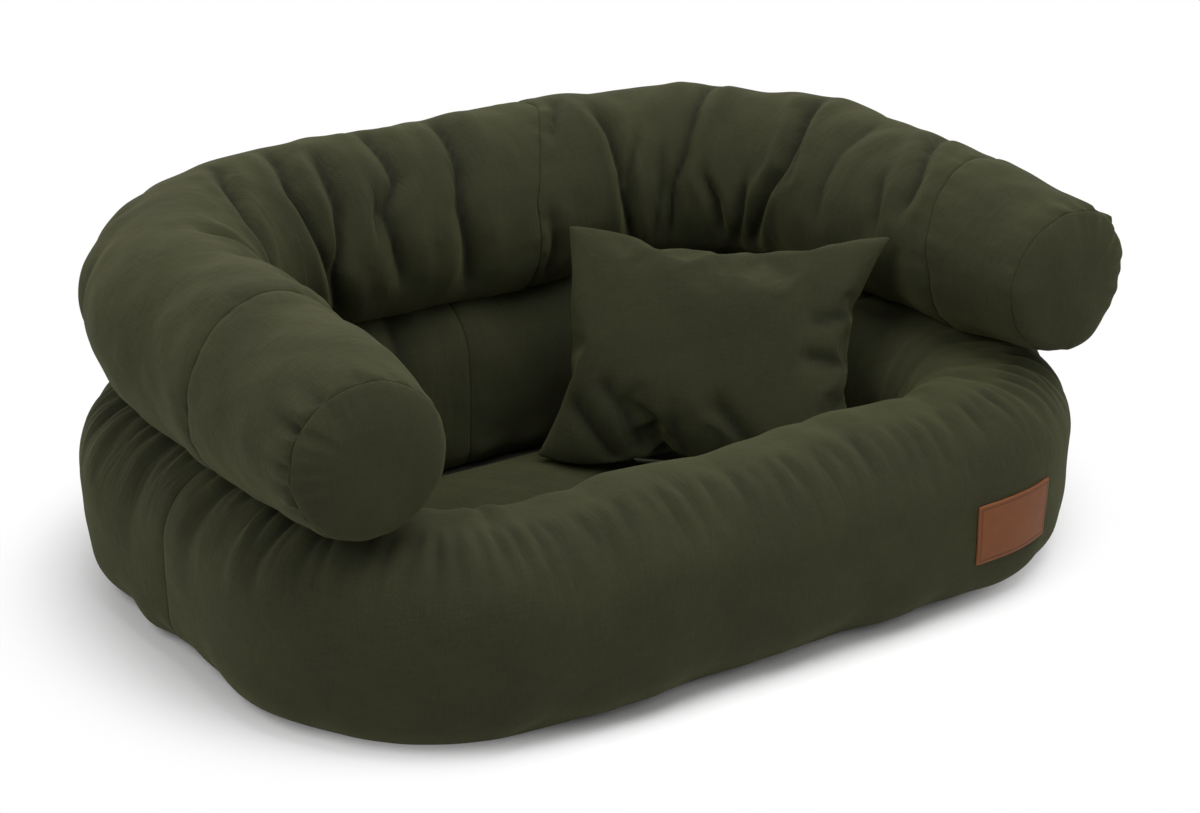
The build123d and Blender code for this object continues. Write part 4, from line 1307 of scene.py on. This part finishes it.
def fit_pillow(places):
    """Brings the blown-up pillow to its real size, with its corners and creases, and how much
    painted shade the bottoms of the creases get
    """
    sizes = bpy.context.scene.dog_bed_cushion
    half_width, half_height, half_full = (
        sizes.pillow_width / 2, sizes.pillow_height / 2, sizes.pillow_fullness)
    u, v, w = places.T
    u = (u - (u.max() + u.min()) / 2) * half_width / (np.ptp(u) / 2)
    v = (v - (v.max() + v.min()) / 2) * half_height / (np.ptp(v) / 2)
    w = w * half_full / max(np.abs(w).max(), 1e-6)
    middle = np.abs(u) < middle_stretch
    hollow = 1 - np.clip(np.abs(u) / half_width, 0, 1) ** 4
    upper_edge = (half_height - upper_sag) / v[middle].max()
    lower_edge = (half_height - sizes.pillow_sag) / -v[middle].min()
    v = v * (1 + (np.where(v > 0, upper_edge, lower_edge) - 1) * hollow)
    shaped = np.c_[u, v, w]
    share_u, share_v = u / half_width, v / half_height
    moved = shaped.copy()
    for (side_u, side_v), point in pillow_corners.items():
        corner = shaped[np.argmax(side_u * share_u + side_v * share_v)]
        pull = np.clip((1 + side_u * share_u) * (1 + side_v * share_v) / 4, 0, 1) ** 6
        moved += pull[:, None] * (np.array([*point, 0.0]) - corner)
    crease_shade = np.zeros(len(moved))
    for line, depth, width in pillow_creases:
        gap = np.full(len(moved), np.inf)
        for first, last in zip(line, line[1:]):
            first, last = np.array(first), np.array(last)
            run = last - first
            along = np.clip((moved[:, :2] - first) @ run / (run @ run), 0, 1)
            nearest = first + along[:, None] * run
            gap = np.minimum(gap, np.linalg.norm(moved[:, :2] - nearest, axis=1))
        valley = depth * np.exp(-(gap / width) ** 1.2)
        front = np.clip(moved[:, 2] / 0.012, 0, 1)
        moved[:, 2] -= valley * front
        # Painted shade in the bottom of each crease
        crease_shade = np.maximum(crease_shade, 0.6 * front * np.exp(-(gap / 0.006) ** 1.4))
    return moved, crease_shade


# Label: points across and up, how far in front of the wall's cloth the leather starts and its face
# lies, how its pressed line and its rounded rim fall off, how often the cloth's wrinkles are
# evened, and how dark the pressed line is
label_grid = (113, 67)
label_back_gap = 0.0004
label_front_gap = 0.0012
border_line_width = 0.0007
rim_round = 0.0006
rim_reach = 0.0008
evening_rounds = 60
border_darkness = 0.85


def label_points(sizes):
    """Flat places over the label, round at its corners, and how far each is from its edge"""
    half_w, half_h = sizes.width / 2, sizes.height / 2
    corner = sizes.corner_radius
    flat = []
    gaps = []
    for a in np.linspace(-1, 1, label_grid[0]):
        for b in np.linspace(-1, 1, label_grid[1]):
            x, z = a * half_w, b * half_h
            over_x = abs(x) - (half_w - corner)
            over_z = abs(z) - (half_h - corner)
            if over_x > 0 and over_z > 0:
                # Pull the sharp corner in onto the round one
                reach = max(over_x, over_z) / math.hypot(over_x, over_z)
                x = math.copysign(half_w - corner + over_x * reach, x)
                z = math.copysign(half_h - corner + over_z * reach, z)
            flat.append((x, z))
            gaps.append(min(half_w * (1 - abs(a)), half_h * (1 - abs(b))))
    return np.array(flat), np.array(gaps)


class DOGBED_OT_label(bpy.types.Operator):
    """Make the leather label, laid on the front wall, with a pressed border line"""
    bl_idname = "dog_bed.make_label"
    bl_label = "Leather label"

    def execute(self, context):
        sizes = context.scene.dog_bed_label
        in_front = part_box("label_patch")[0].y - 0.05
        wall = bpy.data.objects["front_wall_canvas"]
        seen = wall.evaluated_get(context.evaluated_depsgraph_get())
        tree = BVHTree.FromPolygons([v.co for v in seen.data.vertices],
                                    [p.vertices for p in seen.data.polygons])
        flat, gaps = label_points(sizes)
        spots = []
        normals = []
        for x, z in flat:
            origin = Vector((sizes.centre_x + x, in_front, sizes.centre_z + z))
            hit, normal, _, _ = tree.ray_cast(origin, Vector((0, 1, 0)))
            if hit is None:
                raise RuntimeError("the label misses the front wall")
            spots.append(hit)
            normals.append(normal)
        spots, normals = smooth_patch(np.array(spots), np.array(normals))
        line = np.exp(-((gaps - sizes.border_inset) / border_line_width) ** 2)
        rounded = rim_round * np.exp(-gaps / rim_reach)
        lift = sizes.thickness + label_front_gap - line * sizes.border_depth - rounded
        write_label(spots + normals * lift[:, None], spots + normals * label_back_gap, flat, line)
        return {"FINISHED"}


def smooth_patch(spots, normals):
    """Evens out the cloth's small wrinkles under the label, which leather bridges"""
    for values in (spots, normals):
        grid = values.reshape(*label_grid, 3)
        for _ in range(evening_rounds):
            grid[1:-1, 1:-1] = (grid[1:-1, 1:-1] + (grid[:-2, 1:-1] + grid[2:, 1:-1]
                                + grid[1:-1, :-2] + grid[1:-1, 2:]) / 4) / 2
            grid[[0, -1], 1:-1] = (grid[[0, -1], 1:-1] * 2 + grid[[0, -1], :-2]
                                   + grid[[0, -1], 2:]) / 4
            grid[1:-1, [0, -1]] = (grid[1:-1, [0, -1]] * 2 + grid[:-2, [0, -1]]
                                   + grid[2:, [0, -1]]) / 4
    return spots, normals / np.linalg.norm(normals, axis=1, keepdims=True)


def write_label(front, back, flat, line):
    """Closed leather patch from its front and back points, with the pressed line as an attribute"""
    wide, tall = label_grid
    count = wide * tall
    numbers = np.arange(count).reshape(label_grid)
    faces, flat_places = sheet_faces(numbers, flat.reshape(wide, tall, 2), False)
    back_faces, back_places = sheet_faces(numbers + count, flat.reshape(wide, tall, 2), True)
    rim = [*numbers[:, 0], *numbers[-1, 1:], *numbers[-2::-1, -1], *numbers[0, -2:0:-1]]
    rim_faces = []
    rim_places = []
    for a, b in zip(rim, rim[1:] + rim[:1]):
        rim_faces.append([int(b), int(a), int(a + count), int(b + count)])
        rim_places += [flat[n] for n in (b, a, a, b)]
    piece = mesh_piece("leather_label", np.concatenate([front, back]),
                       faces + back_faces + rim_faces, flat_places + back_places + rim_places)
    mark(piece, "pressed", np.r_[line * border_darkness, line * 0])
    piece.data.materials.append(finished(tanned_leather))
    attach(piece, "bed")
    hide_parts("label_patch")


# Zips: what the coil leaves free at its ends, its thread, where the tape starts over the seam and
# where the coil starts over it
coil_ends = 0.008
coil_thread = 0.0004
tape_start = 0.0003
coil_start = 0.0025


def coil_tree():
    """Geometry nodes: one coil turn on each point of a line, as a real mesh"""
    tree = bpy.data.node_groups.new("zip_coil_turns", "GeometryNodeTree")
    face = tree.interface
    face.new_socket("Geometry", in_out="INPUT", socket_type="NodeSocketGeometry")
    for name in ("Length", "Pitch", "Turn width", "Turn thickness"):
        face.new_socket(name, in_out="INPUT", socket_type="NodeSocketFloat")
    face.new_socket("Material", in_out="INPUT", socket_type="NodeSocketMaterial")
    face.new_socket("Geometry", in_out="OUTPUT", socket_type="NodeSocketGeometry")
    given = put(tree, "NodeGroupInput").outputs
    count = put(tree, "ShaderNodeMath", {0: given["Length"], 1: given["Pitch"]}, operation="DIVIDE")
    half = put(tree, "ShaderNodeMath", {0: given["Length"], 1: -0.5}, operation="MULTIPLY")
    start = put(tree, "ShaderNodeCombineXYZ", {0: half.outputs[0]})
    stride = put(tree, "ShaderNodeCombineXYZ", {0: given["Pitch"]})
    line = put(tree, "GeometryNodeMeshLine", {
        "Count": count.outputs[0], "Start Location": start.outputs[0], "Offset": stride.outputs[0]})
    # A turn of the coil is an upright hoop, flattened to the coil's height
    hoop = put(tree, "GeometryNodeCurvePrimitiveCircle", {
        "Resolution": 10, "Radius": given["Turn width"]})
    upright = put(tree, "GeometryNodeTransform", {
        0: hoop.outputs[0], "Rotation": (0, quarter_turn, 0), "Scale": (0.48, 1.0, 1.0)})
    outline = put(tree, "GeometryNodeCurvePrimitiveCircle", {
        "Resolution": 5, "Radius": given["Turn thickness"]})
    turn = put(tree, "GeometryNodeCurveToMesh", {
        0: upright.outputs[0], "Profile Curve": outline.outputs[0]})
    spots = put(tree, "GeometryNodeInstanceOnPoints", {
        "Points": line.outputs[0], "Instance": turn.outputs[0]})
    real = put(tree, "GeometryNodeRealizeInstances", {0: spots.outputs[0]})
    painted = put(tree, "GeometryNodeSetMaterial", {
        0: real.outputs[0], "Material": given["Material"]})
    put(tree, "NodeGroupOutput", {0: painted.outputs[0]})
    return tree


def coil_mesh(length_along, sizes):
    """Coil turns along a line, as a plain mesh"""
    holder = add_object("zip_coil_line", bpy.data.meshes.new("line"))
    modifier = holder.modifiers.new("turns", "NODES")
    modifier.node_group = coil_tree()
    given = {
        "Length": length_along - coil_ends, "Pitch": sizes.tooth_pitch,
        "Turn width": sizes.coil_width / 2 - coil_thread, "Turn thickness": coil_thread,
        "Material": finished(nylon_coil),
    }
    for item in modifier.node_group.interface.items_tree:
        if item.in_out == "INPUT" and item.name in given:
            modifier[item.identifier] = given[item.name]
    seen = holder.evaluated_get(bpy.context.evaluated_depsgraph_get())
    mesh = bpy.data.meshes.new_from_object(seen)
    bpy.data.objects.remove(holder)
    return mesh


def tape_mesh(along, thick, high, low):
    """Woven tape as a bevelled strip, from just over the seam up to the coil"""
    shape = bmesh.new()
    bmesh.ops.create_cube(shape, size=1.0)
    for corner in shape.verts:
        corner.co = Vector((corner.co.x * along, corner.co.y * thick,
                            low + (corner.co.z + 0.5) * high))
    bmesh.ops.bevel(shape, geom=shape.edges[:], offset=thick * 0.2, segments=2, profile=0.5,
                    affect="EDGES")
    mesh = bpy.data.meshes.new("tape")
    shape.to_mesh(mesh)
    shape.free()
    return mesh


def zip_line(body, length_along, origin, axes, sizes):
    """Coil turns and their tape along one zip, on the cushion that carries it"""
    mesh = coil_mesh(length_along, sizes)
    joined = bmesh.new()
    joined.from_mesh(mesh)
    bmesh.ops.translate(joined, vec=(0, 0, coil_start + sizes.coil_height / 2), verts=joined.verts)
    joined.from_mesh(tape_mesh(length_along, sizes.tape_thickness, sizes.tape_height, tape_start))
    joined.to_mesh(mesh)
    joined.free()
    piece = add_object(f"{body}_zip_coil", mesh)
    move_corners(piece, np.array(origin) + corners_of(piece) @ np.array(axes))
    shape = bmesh.new()
    shape.from_mesh(mesh)
    bmesh.ops.recalc_face_normals(shape, faces=shape.faces)
    shape.to_mesh(mesh)
    shape.free()
    mesh.materials.clear()
    mesh.materials.append(finished(nylon_coil))
    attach(piece, body)
    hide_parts(f"{body}_zip_chain")


class DOGBED_OT_zips(bpy.types.Operator):
    """Make the zips of the seat cushion and the throw pillow, and finish their sliders and pulls"""
    bl_idname = "dog_bed.make_zips"
    bl_label = "Zips"

    def execute(self, context):
        sizes = context.scene.dog_bed_zip
        chain_low, chain_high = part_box("seat_cushion_zip_chain")
        seat_low, seat_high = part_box("seat_cushion_top_cover")
        zip_line("seat_cushion", chain_high.x - chain_low.x, (0.0, seat_high.y, seat_low.z),
                 ((1, 0, 0), (0, 0, 1), (0, 1, 0)), sizes)
        centre, axes = pillow_axes()
        cushion = context.scene.dog_bed_cushion
        edge = centre - axes[:, 1] * (cushion.pillow_height / 2 - cushion.pillow_sag)
        zip_line("throw_pillow", sizes.pillow_length, edge,
                 (axes[:, 0], axes[:, 2], -axes[:, 1]), sizes)
        metal = finished(enamelled_zinc)
        for name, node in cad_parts.items():
            if name.endswith(("zip_slider", "zip_pull")):
                node.data.materials.clear()
                node.data.materials.append(metal)
        return {"FINISHED"}


class DOGBED_OT_base(bpy.types.Operator):
    """Give the floor panel its coated cloth"""
    bl_idname = "dog_bed.finish_base"
    bl_label = "Floor panel"

    def execute(self, context):
        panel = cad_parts["floor_panel"]
        panel.data.materials.clear()
        panel.data.materials.append(finished(coated_base_cloth))
        return {"FINISHED"}


# Stage

floor_reach = 40.0
floor_grey = "#CDCDCB"
plain_white = (1.0, 1.0, 1.0, 1.0)
sky_level = 0.30
lamps = {
    # Place, point that it looks at, side, watts
    "lamp_above": ((0.25, -0.65, 2.5), (0, 0, 0.15), 1.8, 48.0),
    "lamp_back": ((0.5, 2.6, 1.7), (0, 0, 0.2), 1.8, 9.0),
    "lamp_left": ((-2.2, -0.6, 2.0), (0, 0, 0.2), 1.4, 27.0),
    "lamp_front": ((1.0, -2.5, 1.9), (0, 0, 0.2), 1.6, 14.0),
}
camera_place = (-1.545, -2.339, 1.299)
camera_tip = 67.69
camera_turn = -34.22
camera_lens = 84.07


def seen_directly(tree):
    """1 where the camera, a reflection or glass sees the stage, and 0 where it lights the bed"""
    rays = put(tree, "ShaderNodeLightPath").outputs
    direct = rays["Is Camera Ray"]
    for other in (rays["Is Glossy Ray"], rays["Is Transmission Ray"]):
        direct = put(tree, "ShaderNodeMath", {0: direct, 1: other}, operation="MAXIMUM").outputs[0]
    return direct


def studio_floor():
    """White studio floor: it takes the bed's soft shadow and fades to plain white away from it"""
    material = bpy.data.materials.new("Studio_floor_painted_white")
    material.use_nodes = True
    tree = material.node_tree
    tree.nodes.clear()
    place = put(tree, "ShaderNodeTexCoord").outputs["Object"]
    # Scaled so that the bed's own outline is about 1; the fade starts under its edge
    bed_reach = (0.54, 0.45)
    fitted = put(tree, "ShaderNodeMapping", {
        0: place, "Scale": (1 / bed_reach[0], 1 / bed_reach[1], 1)})
    away = put(tree, "ShaderNodeVectorMath", {0: fitted.outputs[0]}, operation="LENGTH").outputs[1]
    fade = put(tree, "ShaderNodeMapRange", {0: away, 1: 0.90, 2: 1.24, 3: 0.0, 4: 1.0},
               interpolation_type="SMOOTHSTEP").outputs[0]
    direct = seen_directly(tree)
    fade = put(tree, "ShaderNodeMath", {0: fade, 1: direct}, operation="MULTIPLY").outputs[0]
    # The bed is lit by a pale grey floor, and the picture shows that floor as white
    white = put(tree, "ShaderNodeMix", {
        0: direct, 6: linear(floor_grey), 7: plain_white}, data_type="RGBA").outputs[2]
    paint = put(tree, "ShaderNodeBsdfDiffuse", {"Color": white})
    plain = put(tree, "ShaderNodeEmission", {"Color": plain_white, "Strength": 1.0})
    mixed = put(tree, "ShaderNodeMixShader", {0: fade, 1: paint.outputs[0], 2: plain.outputs[0]})
    put(tree, "ShaderNodeOutputMaterial", {"Surface": mixed.outputs[0]})
    return material


def studio_world():
    """Plain world: an even pale light on the bed, and white to the camera and in reflections"""
    world = bpy.data.worlds.new("studio")
    world.use_nodes = True
    tree = world.node_tree
    tree.nodes.clear()
    direct = seen_directly(tree)
    level = put(tree, "ShaderNodeMapRange", {0: direct, 3: sky_level, 4: 1.0}).outputs[0]
    sky = put(tree, "ShaderNodeBackground", {"Color": plain_white, "Strength": level})
    put(tree, "ShaderNodeOutputWorld", {"Surface": sky.outputs[0]})
    return world


def soft_lamp(name, place, aim, size, power):
    """Large soft lamp that looks at a point"""
    data = bpy.data.lights.new(name, "AREA")
    data.shape = "SQUARE"
    data.size = size
    data.energy = power
    lamp = add_object(name, data)
    lamp.location = place
    lamp.rotation_euler = (Vector(aim) - Vector(place)).to_track_quat("-Z", "Y").to_euler()


class DOGBED_OT_stage(bpy.types.Operator):
    """Make the white floor, the soft lamps, the plain world and the camera"""
    bl_idname = "dog_bed.make_stage"
    bl_label = "Stage"

    def execute(self, context):
        scene = context.scene
        floor_mesh = bpy.data.meshes.new("studio_floor")
        corners = [(-floor_reach, -floor_reach, 0), (floor_reach, -floor_reach, 0),
                   (floor_reach, floor_reach, 0), (-floor_reach, floor_reach, 0)]
        floor_mesh.from_pydata(corners, [], [(0, 1, 2, 3)])
        floor_mesh.materials.append(studio_floor())
        add_object("studio_floor", floor_mesh)
        for name, (place, aim, size, power) in lamps.items():
            soft_lamp(name, place, aim, size, power)
        scene.world = studio_world()
        data = bpy.data.cameras.new("camera")
        data.lens = camera_lens
        data.sensor_width = 36.0
        data.sensor_fit = "HORIZONTAL"
        camera = add_object("camera", data)
        camera.location = camera_place
        camera.rotation_euler = (math.radians(camera_tip), 0, math.radians(camera_turn))
        scene.camera = camera
        scene.view_settings.view_transform = "Standard"
        return {"FINISHED"}


class DOGBED_PT_panel(bpy.types.Panel):
    """Lists the steps that make the bed"""
    bl_idname = "DOGBED_PT_panel"
    bl_label = "Dog bed"
    bl_space_type = "VIEW_3D"
    bl_region_type = "UI"
    bl_category = "Dog bed"

    def draw(self, context):
        for operator in operators:
            self.layout.operator(operator.bl_idname)


property_groups = {
    "dog_bed_wall": DogBedWallSizes,
    "dog_bed_roll": DogBedRollSizes,
    "dog_bed_cushion": DogBedCushionSizes,
    "dog_bed_label": DogBedLabelSizes,
    "dog_bed_zip": DogBedZipSizes,
    "dog_bed_finish": DogBedFinish,
    "dog_bed_stuffing": DogBedStuffing,
}
operators = [
    DOGBED_OT_walls, DOGBED_OT_roll, DOGBED_OT_end_caps, DOGBED_OT_seat, DOGBED_OT_pillow,
    DOGBED_OT_label, DOGBED_OT_zips, DOGBED_OT_base, DOGBED_OT_stage,
]


def register():
    for name, group in property_groups.items():
        bpy.utils.register_class(group)
        setattr(bpy.types.Scene, name, bpy.props.PointerProperty(type=group))
    for operator in operators:
        bpy.utils.register_class(operator)
    bpy.utils.register_class(DOGBED_PT_panel)


def unregister():
    bpy.utils.unregister_class(DOGBED_PT_panel)
    for operator in reversed(operators):
        bpy.utils.unregister_class(operator)
    for name, group in property_groups.items():
        delattr(bpy.types.Scene, name)
        bpy.utils.unregister_class(group)


def main():
    register()
    bpy.ops.dog_bed.make_walls()
    bpy.ops.dog_bed.make_roll()
    bpy.ops.dog_bed.make_end_caps()
    bpy.ops.dog_bed.make_seat()
    bpy.ops.dog_bed.make_pillow()
    bpy.ops.dog_bed.make_label()
    bpy.ops.dog_bed.make_zips()
    bpy.ops.dog_bed.finish_base()
    bpy.ops.dog_bed.make_stage()


if __name__ == "__main__":
    main()
